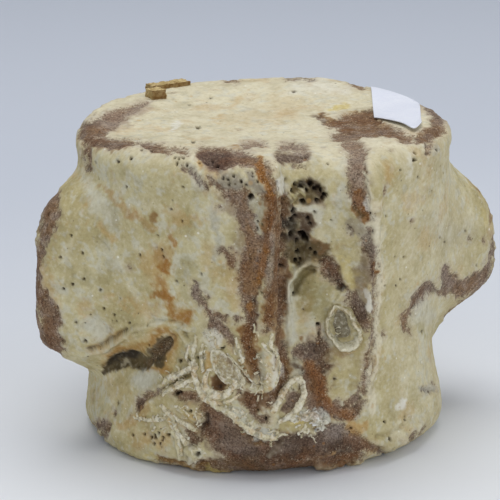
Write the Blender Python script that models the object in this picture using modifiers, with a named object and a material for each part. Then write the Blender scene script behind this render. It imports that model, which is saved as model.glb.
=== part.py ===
"""A fossil whale vertebra that stands on one end face, with the sea growths, the loose chip and the paper label on it.

Metres, +Z up along the centrum, +X along the transverse processes, -Y towards the worn neural arch. The origin is on
the floor, below the middle of the whole object. The bone is one form, a loft of sections round its own axis, and it is
parted by thin cuts into the pieces that a person would name.
"""

import math

import bmesh
import bpy
import numpy as np
from mathutils import Vector

# The centrum: a short column, narrowed at the waist and worn round at its rims.
HEIGHT = 0.0785
UPPER_RADIUS = 0.0466
LOWER_RADIUS = 0.0452
WAIST = 0.0035
WAIST_POWER = 1.3
UPPER_ROUNDING = 0.0042
LOWER_ROUNDING = 0.0045
ARCH_SIDE_ROUNDING = 0.0030  # more wear of both rims on the arch's side,
ARCH_WEAR_AT, ARCH_WEAR_WIDTH = -8.0, 55.0  # round this angle
END_DISH = 0.0018  # hollow of the upper end face
FOOT_DISH = 0.0012  # hollow of the lower end face, inside the ring that it stands on
FOOT_DISH_RADIUS = 0.0300

# The axis of the centrum, seen from the middle of the whole object.
AXIS_X = -0.0026
AXIS_Y = 0.0009

# Transverse processes: worn stubs. An outline is the share of the reach at each height.
LEFT_REACH, RIGHT_REACH = 0.0600, 0.0652
PROCESS_ROOT = 0.0432
UNDER_HALF_ANGLE, UNDER_FALL = 7.5, 2.6  # a process drops steeply to the keel's side
ARCH_HALF_ANGLE, ARCH_FALL = 13.0, 2.2  # and in a long slope to the arch's side,
PROCESS_TOP, PROCESS_NARROWING, NARROWING_ANGLE = 0.0700, 0.45, 45.0  # where its lower edge climbs
LEFT_OUTLINE = (
    (0.0140, 0.00),
    (0.0185, 0.16),
    (0.0215, 0.52),
    (0.0245, 0.82),
    (0.0300, 0.97),
    (0.0380, 1.00),
    (0.0470, 0.95),
    (0.0560, 0.86),
    (0.0612, 0.66),
    (0.0650, 0.34),
    (0.0685, 0.08),
    (0.0720, 0.00),
)
RIGHT_OUTLINE = (
    (0.0120, 0.00),
    (0.0180, 0.16),
    (0.0235, 0.42),
    (0.0275, 0.76),
    (0.0315, 0.96),
    (0.0360, 1.00),
    (0.0435, 0.95),
    (0.0515, 0.84),
    (0.0575, 0.60),
    (0.0630, 0.30),
    (0.0690, 0.08),
    (0.0730, 0.00),
)

# The neural arch is broken off down to two crests with the floor of the neural canal between them: how far each angle
# from the midline stands out from the centrum.
ARCH_SECTION = (
    (-60.0, 0.0000),
    (-44.0, 0.0006),
    (-32.0, 0.0020),
    (-21.0, 0.0028),
    (-15.5, 0.0030),
    (-13.2, -0.0034),
    (-9.5, -0.0054),
    (-2.0, -0.0048),
    (6.0, -0.0022),
    (11.0, 0.0014),
    (13.6, 0.0040),
    (16.5, 0.0014),
    (24.0, -0.0004),
    (45.0, 0.0000),
)
CREST_FOOT = (0.0040, 0.0360)  # the crests rise out of the centrum between these heights
CANAL_FOOT = (0.0120, 0.0480)  # and the canal reaches its depth between these
ARCH_HEAD = (0.0600, 0.0780, 0.35)  # both lose this share between these
CANAL_NOTCH = (4.0, 15.0, 0.0030)  # where the canal runs out over the upper rim: angle, width, depth

# The underside of the animal: a low keel between two shallow hollows.
KEEL_HEIGHT, KEEL_WIDTH = 0.0034, 9.0
KEEL_HOLLOW_DEPTH, KEEL_HOLLOW_AT, KEEL_HOLLOW_WIDTH = 0.0012, 28.0, 12.0

# Swellings and worn hollows of the sides: angle, height, half width in degrees, half height, rise.
SWELLINGS = (
    (74.0, 0.0745, 13.0, 0.0065, 0.0010),  # lump of the upper rim by the right process
    (-66.0, 0.0240, 9.0, 0.0040, -0.0016),  # hollow below the root of the left process
    (-50.0, 0.0345, 16.0, 0.0030, 0.0010),  # ridge of growths above that hollow
    (-38.0, 0.0170, 12.0, 0.0080, 0.0009),  # thick crust low on the left
    (-76.0, 0.0060, 16.0, 0.0060, 0.0011),
    (58.0, 0.0070, 20.0, 0.0080, 0.0012),
    (40.0, 0.0180, 10.0, 0.0070, 0.0007),
    (128.0, 0.0400, 16.0, 0.0140, -0.0010),
    (-135.0, 0.0480, 18.0, 0.0120, -0.0009),
    (158.0, 0.0160, 14.0, 0.0070, 0.0008),
    (-160.0, 0.0640, 12.0, 0.0060, 0.0008),
)
# Where the upper rim stands higher or lower: angle, half width in degrees, rise.
RIM_RISES = ((140.0, 34.0, 0.0021), (-95.0, 40.0, -0.0010), (-145.0, 28.0, 0.0008), (-172.0, 20.0, 0.0003))

# Thin cuts that part the bone.
GAP = 0.0003
LOWER_CUT = 0.0115
UPPER_CUT = 0.0690
PROCESS_CUT = 0.0448
ARCH_CUT = -0.0393
KEEL_CUT = 0.0428
LEFT_CREST = (-0.0275, -0.0088)
RIGHT_CREST = (0.0072, 0.0205)
KEEL_HALF_WIDTH = 0.0100
FAR = 0.2

# The loft's mesh.
COLUMNS = 80
ARCH_COLUMN_DENSITY = 3.0
PROCESS_COLUMN_DENSITY = 1.6
END_ROWS, ROUNDING_ROWS, SIDE_ROWS = 4, 3, 20

# Sea growths, as (angle, height) points on the side of the bone, and the radius of each tube.
HAIRPIN_TUBE = (
    (-15.6, 0.0185),
    (-12.2, 0.0232),
    (-8.6, 0.0262),
    (-5.4, 0.0258),
    (-4.6, 0.0222),
    (-7.4, 0.0172),
    (-10.4, 0.0142),
)
HAIRPIN_RADIUS = 0.0010
CREEPING_TUBE = (
    (-40.7, 0.0292),
    (-38.2, 0.0235),
    (-34.6, 0.0172),
    (-29.5, 0.0150),
    (-23.5, 0.0135),
    (-18.5, 0.0112),
    (-14.5, 0.0102),
)
CREEPING_RADIUS = 0.0011
COIL_RING = (-32.0, 0.0248, 0.0024, 0.0010)  # angle, height, ring radius, tube radius
BARNACLE_RING = (7.2, 0.0352, 0.0037, 0.0011)
SHELL_VALVE = ((-34.2, 0.0338), (-26.4, 0.0270))  # ends of the valve's long axis
SHELL_WIDTH, SHELL_THICKNESS, SHELL_LIFT = 0.0034, 0.0018, 0.0016

BRIDGE_ANGLE = 2.4  # a growth spans hollows narrower than about twice this
GROWTH_CLEARANCE = 0.0004

# The chip: a slab along the back of the upper rim with a block in front of it. Places are seen from the axis.
CHIP_SLAB_AT, CHIP_SLAB_TURN = Vector((-0.0130, 0.0368, 0.0795)), 31.0
CHIP_SLAB = (0.0175, 0.0042, 0.0020)
CHIP_BLOCK_AT, CHIP_BLOCK_TURN = Vector((-0.0190, 0.0300, 0.0793)), 8.0
CHIP_BLOCK = (0.0056, 0.0056, 0.0028)
CHIP_EDGE = 0.0004

# The paper label: a strip over the upper end face that turns down over the rim at its back corner.
LABEL_LENGTH, LABEL_WIDTH = 0.0445, 0.0127
LABEL_CORNER = Vector((0.0240, -0.0155))  # front left corner, seen from the axis
LABEL_TURN = 69.0  # direction of its length from +X, in degrees
LABEL_SLANT = 0.0086  # both its ends are cut on a slant, further forward on the right
LABEL_FRONT_WIDTH, LABEL_TAPER = 0.0097, 0.35  # it narrows over this share of its length
LABEL_THICKNESS, LABEL_LIFT, LABEL_CURL = 0.0004, 0.0004, 0.0012


def smoothstep(low, high, value):
    share = np.clip((value - low) / (high - low), 0.0, 1.0)
    return share * share * (3.0 - 2.0 * share)


def bump(distance, width):
    return np.exp(-((distance / width) ** 2))


def turned(angle, middle):
    """The signed angle from middle to angle, in degrees."""
    return (angle - middle + 180.0) % 360.0 - 180.0


def through(points, value):
    """A smooth curve through (place, size) points, level at both ends."""
    place, size = np.array(points, float).T
    slope = np.gradient(size, place)
    slope[0] = slope[-1] = 0.0
    value = np.clip(value, place[0], place[-1])
    index = np.clip(np.searchsorted(place, value, "right") - 1, 0, len(place) - 2)
    width = place[index + 1] - place[index]
    t = (value - place[index]) / width
    start = (2 * t**3 - 3 * t**2 + 1) * size[index] + (t**3 - 2 * t**2 + t) * width * slope[index]
    end = (3 * t**2 - 2 * t**3) * size[index + 1] + (t**3 - t**2) * width * slope[index + 1]
    return start + end


def side_radius(angle, height):
    """Distance from the axis of the bone's side, at an angle in degrees from the arch and a height."""
    share = np.clip(height / HEIGHT, 0.0, 1.0)
    belly = np.sin(np.pi * share)
    radius = LOWER_RADIUS + (UPPER_RADIUS - LOWER_RADIUS) * share - WAIST * belly**WAIST_POWER
    arch = through(ARCH_SECTION, turned(angle, 0.0)) * (1 - ARCH_HEAD[2] * smoothstep(*ARCH_HEAD[:2], height))
    radius = radius + arch * np.where(arch > 0, smoothstep(*CREST_FOOT, height), smoothstep(*CANAL_FOOT, height))
    under = turned(angle, 180.0)
    radius = radius + KEEL_HEIGHT * bump(under, KEEL_WIDTH) * belly
    radius = radius - KEEL_HOLLOW_DEPTH * bump(np.abs(under) - KEEL_HOLLOW_AT, KEEL_HOLLOW_WIDTH) * belly
    for side, reach, outline in ((-1, LEFT_REACH, LEFT_OUTLINE), (1, RIGHT_REACH, RIGHT_OUTLINE)):
        away = side * turned(angle, side * 90.0)
        under_bell = 1 / (1 + (np.abs(away) / UNDER_HALF_ANGLE) ** UNDER_FALL)
        arch_bell = 1 / (1 + (np.abs(away) / ARCH_HALF_ANGLE) ** ARCH_FALL)
        narrowed = 1 + PROCESS_NARROWING * smoothstep(0.0, NARROWING_ANGLE, -away)
        level = PROCESS_TOP - (PROCESS_TOP - height) * narrowed
        radius = radius + (reach - PROCESS_ROOT) * through(outline, level) * np.where(away > 0, under_bell, arch_bell)
    for middle, level, wide, tall, rise in SWELLINGS:
        radius = radius + rise * bump(turned(angle, middle), wide) * bump(height - level, tall)
    return radius


def top_height(angle, radius):
    """Height of the upper end face, which is dished in the middle and uneven at its rim."""
    rim = smoothstep(0.012, 0.040, radius)
    height = HEIGHT - END_DISH * (1 - rim)
    for middle, wide, rise in RIM_RISES:
        height = height + rim * rise * bump(turned(angle, middle), wide)
    middle, wide, depth = CANAL_NOTCH
    return height - depth * bump(turned(angle, middle), wide) * smoothstep(0.026, 0.044, radius)


def rims(angle):
    """Rounding, level and radius of the upper rim, then rounding and radius of the lower rim."""
    wear = bump(turned(angle, ARCH_WEAR_AT), ARCH_WEAR_WIDTH)
    upper_round = UPPER_ROUNDING + ARCH_SIDE_ROUNDING * wear
    lower_round = LOWER_ROUNDING + ARCH_SIDE_ROUNDING * wear
    outer = side_radius(angle, HEIGHT - UPPER_ROUNDING + 0.0 * angle)
    level = top_height(angle, outer) - upper_round
    return upper_round, level, side_radius(angle, level), lower_round, side_radius(angle, lower_round)


def surface(angle, stage):
    """A point on the bone. Stage runs 0 to 1 over the upper face, to 2 round its rim, to 3 down the side, to 4 round the
    lower rim and to 5 in over the lower face."""
    angle, stage = np.broadcast_arrays(np.asarray(angle, float), np.asarray(stage, float))
    upper_round, rim_level, upper_rim, lower_round, lower_rim = rims(angle)
    radius = (upper_rim - upper_round) * np.clip(stage, 0.0, 1.0)
    height = top_height(angle, radius)
    face_edge = top_height(angle, upper_rim - upper_round)
    turn = np.clip(stage - 1, 0.0, 1.0) * np.pi / 2
    radius = np.where(stage > 1, upper_rim - upper_round * (1 - np.sin(turn)), radius)
    height = np.where(stage > 1, rim_level + (face_edge - rim_level) * np.cos(turn), height)
    side_height = rim_level + (lower_round - rim_level) * np.clip(stage - 2, 0.0, 1.0)
    radius = np.where(stage > 2, side_radius(angle, side_height), radius)
    height = np.where(stage > 2, side_height, height)
    turn = np.clip(stage - 3, 0.0, 1.0) * np.pi / 2
    radius = np.where(stage > 3, lower_rim - lower_round * (1 - np.cos(turn)), radius)
    height = np.where(stage > 3, lower_round * (1 - np.sin(turn)), height)
    inward = (lower_rim - lower_round) * np.clip(5 - stage, 0.0, 1.0)
    dish = FOOT_DISH * (1 - smoothstep(FOOT_DISH_RADIUS - 0.010, FOOT_DISH_RADIUS, inward))
    radius = np.where(stage > 4, inward, radius)
    height = np.where(stage > 4, dish, height)
    around = np.radians(angle)
    return np.stack([AXIS_X + radius * np.sin(around), AXIS_Y - radius * np.cos(around), height], -1)


def column_angles():
    """Angles of the loft's columns, closest together at the arch and then at the processes."""
    fine = np.linspace(-180.0, 180.0, 3601)
    density = 1 + ARCH_COLUMN_DENSITY * bump(fine, 26.0)
    for middle in (-90.0, 90.0):
        density += PROCESS_COLUMN_DENSITY * bump(fine - middle, 22.0)
    share = np.cumsum(density) / density.sum()
    return np.interp((np.arange(COLUMNS) + 0.5) / COLUMNS, share, fine)


def stage_rows():
    inner = 1 / END_ROWS
    return np.concatenate(
        [
            np.linspace(inner, 1, END_ROWS),
            np.linspace(1, 2, ROUNDING_ROWS + 1)[1:],
            np.linspace(2, 3, SIDE_ROWS + 1)[1:],
            np.linspace(3, 4, ROUNDING_ROWS + 1)[1:],
            np.linspace(4, 5 - inner, END_ROWS)[1:],
        ]
    )


def whole_bone():
    """The mesh of the whole bone: a loft of rings, closed by a fan at each end face."""
    points = surface(column_angles()[None, :], stage_rows()[:, None])
    mesh = bpy.data.meshes.new("whole_bone")
    shape = bmesh.new()
    rings = [[shape.verts.new(point) for point in ring] for ring in points.tolist()]
    for upper, lower in zip(rings, rings[1:]):
        for i in range(COLUMNS):
            j = (i + 1) % COLUMNS
            shape.faces.new((upper[i], lower[i], lower[j], upper[j]))
    for ring, stage in ((rings[0], 0.0), (rings[-1], 5.0)):
        pole = shape.verts.new(surface(0.0, stage).tolist())
        for i in range(COLUMNS):
            shape.faces.new((ring[i], ring[(i + 1) % COLUMNS], pole))
    bmesh.ops.recalc_face_normals(shape, faces=shape.faces)
    bmesh.ops.triangulate(shape, faces=shape.faces)
    shape.to_mesh(mesh)
    shape.free()
    mesh.shade_smooth()
    return mesh


def material(name, colour, roughness):
    made = bpy.data.materials.new(name)
    made.use_nodes = True
    shader = made.node_tree.nodes["Principled BSDF"]
    shader.inputs["Base Color"].default_value = (*colour, 1.0)
    shader.inputs["Roughness"].default_value = roughness
    shader.inputs["Metallic"].default_value = 0.0
    return made


def collection(name):
    made = bpy.data.collections.new(name)
    bpy.context.scene.collection.children.link(made)
    return made


def add(name, data, finish, group):
    thing = bpy.data.objects.new(name, data)
    if not data.materials:
        data.materials.append(finish)
    group.objects.link(thing)
    return thing


def region(name, low, high, group):
    """A box from low to high, seen from the axis of the bone, that cuts the bone and isn't a piece of it."""
    mesh = bpy.data.meshes.new(name)
    shape = bmesh.new()
    bmesh.ops.create_cube(shape, size=1.0)
    low, high = Vector(low), Vector(high)
    for vert in shape.verts:
        for k in range(3):
            vert.co[k] = low[k] if vert.co[k] < 0 else high[k]
        vert.co += Vector((AXIS_X, AXIS_Y, 0.0))
    shape.to_mesh(mesh)
    shape.free()
    thing = bpy.data.objects.new(name, mesh)
    thing.hide_render = True
    thing.display_type = "WIRE"
    group.objects.link(thing)
    return thing


def cut(thing, operation, cutter):
    change = thing.modifiers.new(operation.lower(), "BOOLEAN")
    change.operation = operation
    change.object = cutter
    change.solver = "EXACT"


def bone_pieces(finish, group, cutters):
    """The named pieces of the bone: each is the whole bone inside its own region, a gap away from the next."""
    mesh = whole_bone()
    mesh.materials.append(finish)
    half = GAP / 2
    low, high = LOWER_CUT + half, UPPER_CUT - half
    outer = {
        "transverse_process_left": ((-FAR, -FAR, low), (-PROCESS_CUT - half, FAR, high)),
        "transverse_process_right": ((PROCESS_CUT + half, -FAR, low), (FAR, FAR, high)),
        "neural_arch_left": ((LEFT_CREST[0], -FAR, low), (LEFT_CREST[1], ARCH_CUT - half, high)),
        "neural_arch_right": ((RIGHT_CREST[0], -FAR, low), (RIGHT_CREST[1], ARCH_CUT - half, high)),
        "ventral_keel": ((-KEEL_HALF_WIDTH, KEEL_CUT + half, low), (KEEL_HALF_WIDTH, FAR, high)),
    }
    for name, (start, end) in outer.items():
        cut(add(name, mesh, finish, group), "INTERSECT", region(name + "_region", start, end, cutters))
    ends = {
        "lower_end_plate": ((-FAR, -FAR, -FAR), (FAR, FAR, LOWER_CUT - half)),
        "upper_end_plate": ((-FAR, -FAR, UPPER_CUT + half), (FAR, FAR, FAR)),
    }
    for name, (start, end) in ends.items():
        cut(add(name, mesh, finish, group), "INTERSECT", region(name + "_region", start, end, cutters))
    centrum = add("centrum", mesh, finish, group)
    cut(centrum, "INTERSECT", region("centrum_region", (-FAR, -FAR, low), (FAR, FAR, high), cutters))
    for name, (start, end) in outer.items():
        grown = Vector((GAP, GAP, GAP))
        room = region(name + "_room", Vector(start) - grown, Vector(end) + grown, cutters)
        cut(centrum, "DIFFERENCE", room)


def on_side(angle, height, lift):
    """A point over the bone's side, lifted straight out from the axis, that bridges any narrow hollow."""
    angle, height = np.asarray(angle, float), np.asarray(height, float)
    near = [side_radius(angle + step, height) for step in np.linspace(-BRIDGE_ANGLE, BRIDGE_ANGLE, 7)]
    radius = np.max(near, axis=0) + lift
    around = np.radians(angle)
    return np.stack([AXIS_X + radius * np.sin(around), AXIS_Y - radius * np.cos(around), height], -1)


def tube(name, points, radius, closed, finish, group):
    """A round tube along points: one POLY curve with a bevel."""
    data = bpy.data.curves.new(name, "CURVE")
    data.dimensions = "3D"
    data.bevel_depth = radius
    data.bevel_resolution = 2
    data.use_fill_caps = not closed
    spline = data.splines.new("POLY")
    spline.points.add(len(points) - 1)
    for target, point in zip(spline.points, points.tolist()):
        target.co = (*point, 1.0)
    spline.use_cyclic_u = closed
    return add(name, data, finish, group)


def creeping_tube(name, route, radius, finish, group):
    """A worm tube laid along a smooth route on the bone's side."""
    angle, height = np.array(route, float).T
    knots = np.arange(len(route))
    steps = np.linspace(0, len(route) - 1, 4 * (len(route) - 1) + 1)
    smooth_angle = through(list(zip(knots, angle)), steps)
    smooth_height = through(list(zip(knots, height)), steps)
    return tube(name, on_side(smooth_angle, smooth_height, radius + GROWTH_CLEARANCE), radius, False, finish, group)


def ring_on_side(name, ring, finish, group):
    """A ring of shell wall that follows the bone's side."""
    middle, level, ring_radius, tube_radius = ring
    turn = np.linspace(0, 2 * np.pi, 20, endpoint=False)
    degrees = math.degrees(ring_radius / float(side_radius(middle, level)))
    angle = middle + degrees * np.cos(turn)
    height = level + ring_radius * np.sin(turn)
    return tube(name, on_side(angle, height, tube_radius + GROWTH_CLEARANCE), tube_radius, True, finish, group)


def shell_valve(finish, group):
    """One oyster-like valve: a flattened ball, its long axis between two points of the bone's side."""
    start, end = (Vector(on_side(angle, height, SHELL_LIFT)) for angle, height in SHELL_VALVE)
    middle = (start + end) / 2
    along = (end - start).normalized()
    out = Vector((middle.x - AXIS_X, middle.y - AXIS_Y, 0.0)).normalized()
    across = out.cross(along).normalized()
    out = along.cross(across)
    mesh = bpy.data.meshes.new("shell_valve")
    shape = bmesh.new()
    bmesh.ops.create_uvsphere(shape, u_segments=16, v_segments=8, radius=0.5)
    size = ((end - start).length, SHELL_WIDTH, SHELL_THICKNESS)
    for vert in shape.verts:
        x, y, z = (vert.co[k] * size[k] for k in range(3))
        vert.co = middle + along * x + across * y + out * z
    bmesh.ops.recalc_face_normals(shape, faces=shape.faces)
    shape.to_mesh(mesh)
    shape.free()
    mesh.shade_smooth()
    return add("shell_valve", mesh, finish, group)


def box(name, size, place, turn, finish, group):
    """A block with worn edges that stands on its place, turned about +Z by degrees."""
    mesh = bpy.data.meshes.new(name)
    shape = bmesh.new()
    bmesh.ops.create_cube(shape, size=1.0)
    bmesh.ops.scale(shape, vec=size, verts=shape.verts)
    bmesh.ops.bevel(shape, geom=shape.edges, offset=CHIP_EDGE, segments=1, affect="EDGES")
    shape.to_mesh(mesh)
    shape.free()
    thing = add(name, mesh, finish, group)
    thing.location = place + Vector((AXIS_X, AXIS_Y, size[2] / 2))
    thing.rotation_euler.z = math.radians(turn)
    return thing


def loose_chip(finish, group, cutters):
    """A broken scrap on the upper rim: a slab with a block joined to its front."""
    slab = box("loose_chip", CHIP_SLAB, CHIP_SLAB_AT, CHIP_SLAB_TURN, finish, group)
    block = box("loose_chip_block", CHIP_BLOCK, CHIP_BLOCK_AT, CHIP_BLOCK_TURN, finish, cutters)
    block.hide_render = True
    block.display_type = "WIRE"
    cut(slab, "UNION", block)


def draped(place, lift):
    """The point where a flat place, seen from the axis, ends up when it is laid over the upper face and its rim."""
    angle = math.degrees(math.atan2(place.x, -place.y))
    rounding, level, rim_radius = (float(value) for value in rims(np.float64(angle))[:3])
    past = place.length - (rim_radius - rounding)
    if past <= 0.0:
        radius, height = place.length, float(top_height(angle, place.length)) + lift
    else:
        turn = min(past / rounding, math.pi / 2)
        radius = rim_radius - rounding + (rounding + lift) * math.sin(turn)
        height = level + (rounding + lift) * math.cos(turn) - max(past - rounding * math.pi / 2, 0.0)
    out = place.normalized() * radius
    return Vector((AXIS_X + out.x, AXIS_Y + out.y, height))


def paper_label(finish, group):
    """A strip of label paper along the upper end face, its front edge curled up a little."""
    along = Vector((math.cos(math.radians(LABEL_TURN)), math.sin(math.radians(LABEL_TURN))))
    across = Vector((along.y, -along.x))
    mesh = bpy.data.meshes.new("paper_label")
    shape = bmesh.new()
    bmesh.ops.create_grid(shape, x_segments=5, y_segments=18, size=0.5)
    for vert in shape.verts:
        u, v = vert.co.x + 0.5, vert.co.y + 0.5
        full = float(smoothstep(0.0, LABEL_TAPER, v))
        width = LABEL_FRONT_WIDTH + (LABEL_WIDTH - LABEL_FRONT_WIDTH) * full
        place = LABEL_CORNER + across * (u * width) + along * (v * LABEL_LENGTH - u * LABEL_SLANT)
        vert.co = draped(place, LABEL_LIFT + LABEL_CURL * (1 - full) ** 2 * (1 - u))
    shape.to_mesh(mesh)
    shape.free()
    thing = add("paper_label", mesh, finish, group)
    wall = thing.modifiers.new("paper", "SOLIDIFY")
    wall.thickness = LABEL_THICKNESS
    wall.offset = 1.0


def main():
    for thing in list(bpy.data.objects):
        bpy.data.objects.remove(thing)
    vertebra = collection("whale_vertebra")
    cutters = collection("cutters")
    bone = material("crusted_bone", (0.50, 0.42, 0.28), 0.85)
    shell = material("shell_growth", (0.66, 0.60, 0.44), 0.75)
    scrap = material("chip", (0.36, 0.26, 0.11), 0.85)
    paper = material("label_paper", (0.78, 0.80, 0.86), 0.6)
    bone_pieces(bone, vertebra, cutters)
    creeping_tube("worm_tube_hairpin", HAIRPIN_TUBE, HAIRPIN_RADIUS, shell, vertebra)
    creeping_tube("worm_tube_creeping", CREEPING_TUBE, CREEPING_RADIUS, shell, vertebra)
    ring_on_side("worm_tube_coil", COIL_RING, shell, vertebra)
    ring_on_side("barnacle_wall", BARNACLE_RING, shell, vertebra)
    shell_valve(shell, vertebra)
    loose_chip(scrap, vertebra, cutters)
    paper_label(paper, vertebra)


main()
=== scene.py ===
"""The looks of a fossil whale vertebra: its crusted skin, the sea growths on it, a chip and a paper label.

Metres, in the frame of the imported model. The skin is one fine grid over the same form as the model's bone.
The marks listed below press it in or raise it and paint it. It is then parted much as the model is, into
closed pieces.
"""

import itertools
import math

import bmesh
import bpy
import numpy as np
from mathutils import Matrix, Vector
from mathutils.bvhtree import BVHTree


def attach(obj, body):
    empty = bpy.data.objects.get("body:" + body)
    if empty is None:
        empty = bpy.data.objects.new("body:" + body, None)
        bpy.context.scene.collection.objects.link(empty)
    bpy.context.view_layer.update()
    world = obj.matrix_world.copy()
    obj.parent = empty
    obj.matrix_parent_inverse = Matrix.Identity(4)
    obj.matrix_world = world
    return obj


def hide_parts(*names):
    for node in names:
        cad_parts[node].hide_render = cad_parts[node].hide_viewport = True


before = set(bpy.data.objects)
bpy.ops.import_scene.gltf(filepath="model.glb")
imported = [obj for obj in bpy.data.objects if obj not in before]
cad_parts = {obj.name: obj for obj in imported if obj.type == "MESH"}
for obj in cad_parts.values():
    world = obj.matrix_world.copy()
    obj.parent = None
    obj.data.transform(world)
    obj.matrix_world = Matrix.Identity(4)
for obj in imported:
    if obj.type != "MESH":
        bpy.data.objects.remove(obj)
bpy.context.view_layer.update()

MM = 0.001

# -------------------------------- the form of the bone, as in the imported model

HEIGHT = 0.0785
UPPER_RADIUS, LOWER_RADIUS = 0.0466, 0.0452
WAIST, WAIST_POWER = 0.0035, 1.3
UPPER_ROUNDING, LOWER_ROUNDING, ARCH_SIDE_ROUNDING = 0.0042, 0.0045, 0.0030
ARCH_WEAR_AT, ARCH_WEAR_WIDTH = -8.0, 55.0
END_DISH, FOOT_DISH, FOOT_DISH_RADIUS = 0.0018, 0.0012, 0.0300
AXIS_X, AXIS_Y = -0.0026, 0.0009
LEFT_REACH, RIGHT_REACH, PROCESS_ROOT = 0.0600, 0.0652, 0.0432
UNDER_HALF_ANGLE, UNDER_FALL = 7.5, 2.6
ARCH_HALF_ANGLE, ARCH_FALL = 13.0, 2.2
PROCESS_TOP, PROCESS_NARROWING, NARROWING_ANGLE = 0.0700, 0.45, 45.0
LEFT_OUTLINE = (
    (0.0140, 0.00), (0.0185, 0.16), (0.0215, 0.52), (0.0245, 0.82), (0.0300, 0.97), (0.0380, 1.00),
    (0.0470, 0.95), (0.0560, 0.86), (0.0612, 0.66), (0.0650, 0.34), (0.0685, 0.08), (0.0720, 0.00),
)
RIGHT_OUTLINE = (
    (0.0120, 0.00), (0.0180, 0.16), (0.0235, 0.42), (0.0275, 0.76), (0.0315, 0.96), (0.0360, 1.00),
    (0.0435, 0.95), (0.0515, 0.84), (0.0575, 0.60), (0.0630, 0.30), (0.0690, 0.08), (0.0730, 0.00),
)
ARCH_SECTION = (
    (-60.0, 0.0000), (-44.0, 0.0006), (-32.0, 0.0020), (-21.0, 0.0028), (-15.5, 0.0030), (-13.2, -0.0034),
    (-9.5, -0.0054), (-2.0, -0.0048), (6.0, -0.0022), (11.0, 0.0014), (13.6, 0.0040), (16.5, 0.0014),
    (24.0, -0.0004), (45.0, 0.0000),
)
CREST_FOOT, CANAL_FOOT, ARCH_HEAD = (0.0040, 0.0360), (0.0120, 0.0480), (0.0600, 0.0780, 0.35)
CANAL_NOTCH = (4.0, 15.0, 0.0030)
KEEL_HEIGHT, KEEL_WIDTH = 0.0034, 9.0
KEEL_HOLLOW_DEPTH, KEEL_HOLLOW_AT, KEEL_HOLLOW_WIDTH = 0.0012, 28.0, 12.0
SWELLINGS = (
    (74.0, 0.0745, 13.0, 0.0065, 0.0010),
    (-66.0, 0.0240, 9.0, 0.0040, -0.0016),
    (-50.0, 0.0345, 16.0, 0.0030, 0.0010),
    (-38.0, 0.0170, 12.0, 0.0080, 0.0009),
    (-76.0, 0.0060, 16.0, 0.0060, 0.0011),
    (58.0, 0.0070, 20.0, 0.0080, 0.0012),
    (40.0, 0.0180, 10.0, 0.0070, 0.0007),
    (128.0, 0.0400, 16.0, 0.0140, -0.0010),
    (-135.0, 0.0480, 18.0, 0.0120, -0.0009),
    (158.0, 0.0160, 14.0, 0.0070, 0.0008),
    (-160.0, 0.0640, 12.0, 0.0060, 0.0008),
)
RIM_RISES = ((140.0, 34.0, 0.0021), (-95.0, 40.0, -0.0010), (-145.0, 28.0, 0.0008), (-172.0, 20.0, 0.0003))


def smoothstep(low, high, value):
    """0 below low, 1 above high and smooth between them."""
    share = np.clip((value - low) / (high - low), 0.0, 1.0)
    return share * share * (3.0 - 2.0 * share)


def bump(distance, width):
    """1 at no distance, falling off smoothly over a width."""
    return np.exp(-((distance / width) ** 2))


def turned(angle, middle):
    """The signed angle from middle to angle, in degrees."""
    return (angle - middle + 180.0) % 360.0 - 180.0


def through(points, value):
    """A smooth curve through (place, size) points, level at both ends."""
    place, size = np.array(points, float).T
    slope = np.gradient(size, place)
    slope[0] = slope[-1] = 0.0
    value = np.clip(value, place[0], place[-1])
    index = np.clip(np.searchsorted(place, value, "right") - 1, 0, len(place) - 2)
    width = place[index + 1] - place[index]
    t = (value - place[index]) / width
    start = (2 * t**3 - 3 * t**2 + 1) * size[index] + (t**3 - 2 * t**2 + t) * width * slope[index]
    end = (3 * t**2 - 2 * t**3) * size[index + 1] + (t**3 - t**2) * width * slope[index + 1]
    return start + end


def side_radius(angle, height):
    """Distance from the axis of the bone's side, at an angle in degrees from the arch and a height."""
    share = np.clip(height / HEIGHT, 0.0, 1.0)
    belly = np.sin(np.pi * share)
    radius = LOWER_RADIUS + (UPPER_RADIUS - LOWER_RADIUS) * share - WAIST * belly**WAIST_POWER
    arch = through(ARCH_SECTION, turned(angle, 0.0)) * (1 - ARCH_HEAD[2] * smoothstep(*ARCH_HEAD[:2], height))
    crest, canal = smoothstep(*CREST_FOOT, height), smoothstep(*CANAL_FOOT, height)
    radius = radius + arch * np.where(arch > 0, crest, canal)
    under = turned(angle, 180.0)
    radius = radius + KEEL_HEIGHT * bump(under, KEEL_WIDTH) * belly
    radius = radius - KEEL_HOLLOW_DEPTH * bump(np.abs(under) - KEEL_HOLLOW_AT, KEEL_HOLLOW_WIDTH) * belly
    for side, reach, outline in ((-1, LEFT_REACH, LEFT_OUTLINE), (1, RIGHT_REACH, RIGHT_OUTLINE)):
        away = side * turned(angle, side * 90.0)
        under_bell = 1 / (1 + (np.abs(away) / UNDER_HALF_ANGLE) ** UNDER_FALL)
        arch_bell = 1 / (1 + (np.abs(away) / ARCH_HALF_ANGLE) ** ARCH_FALL)
        narrowed = 1 + PROCESS_NARROWING * smoothstep(0.0, NARROWING_ANGLE, -away)
        level = PROCESS_TOP - (PROCESS_TOP - height) * narrowed
        bell = np.where(away > 0, under_bell, arch_bell)
        radius = radius + (reach - PROCESS_ROOT) * through(outline, level) * bell
    for middle, level, wide, tall, rise in SWELLINGS:
        radius = radius + rise * bump(turned(angle, middle), wide) * bump(height - level, tall)
    return radius


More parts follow.
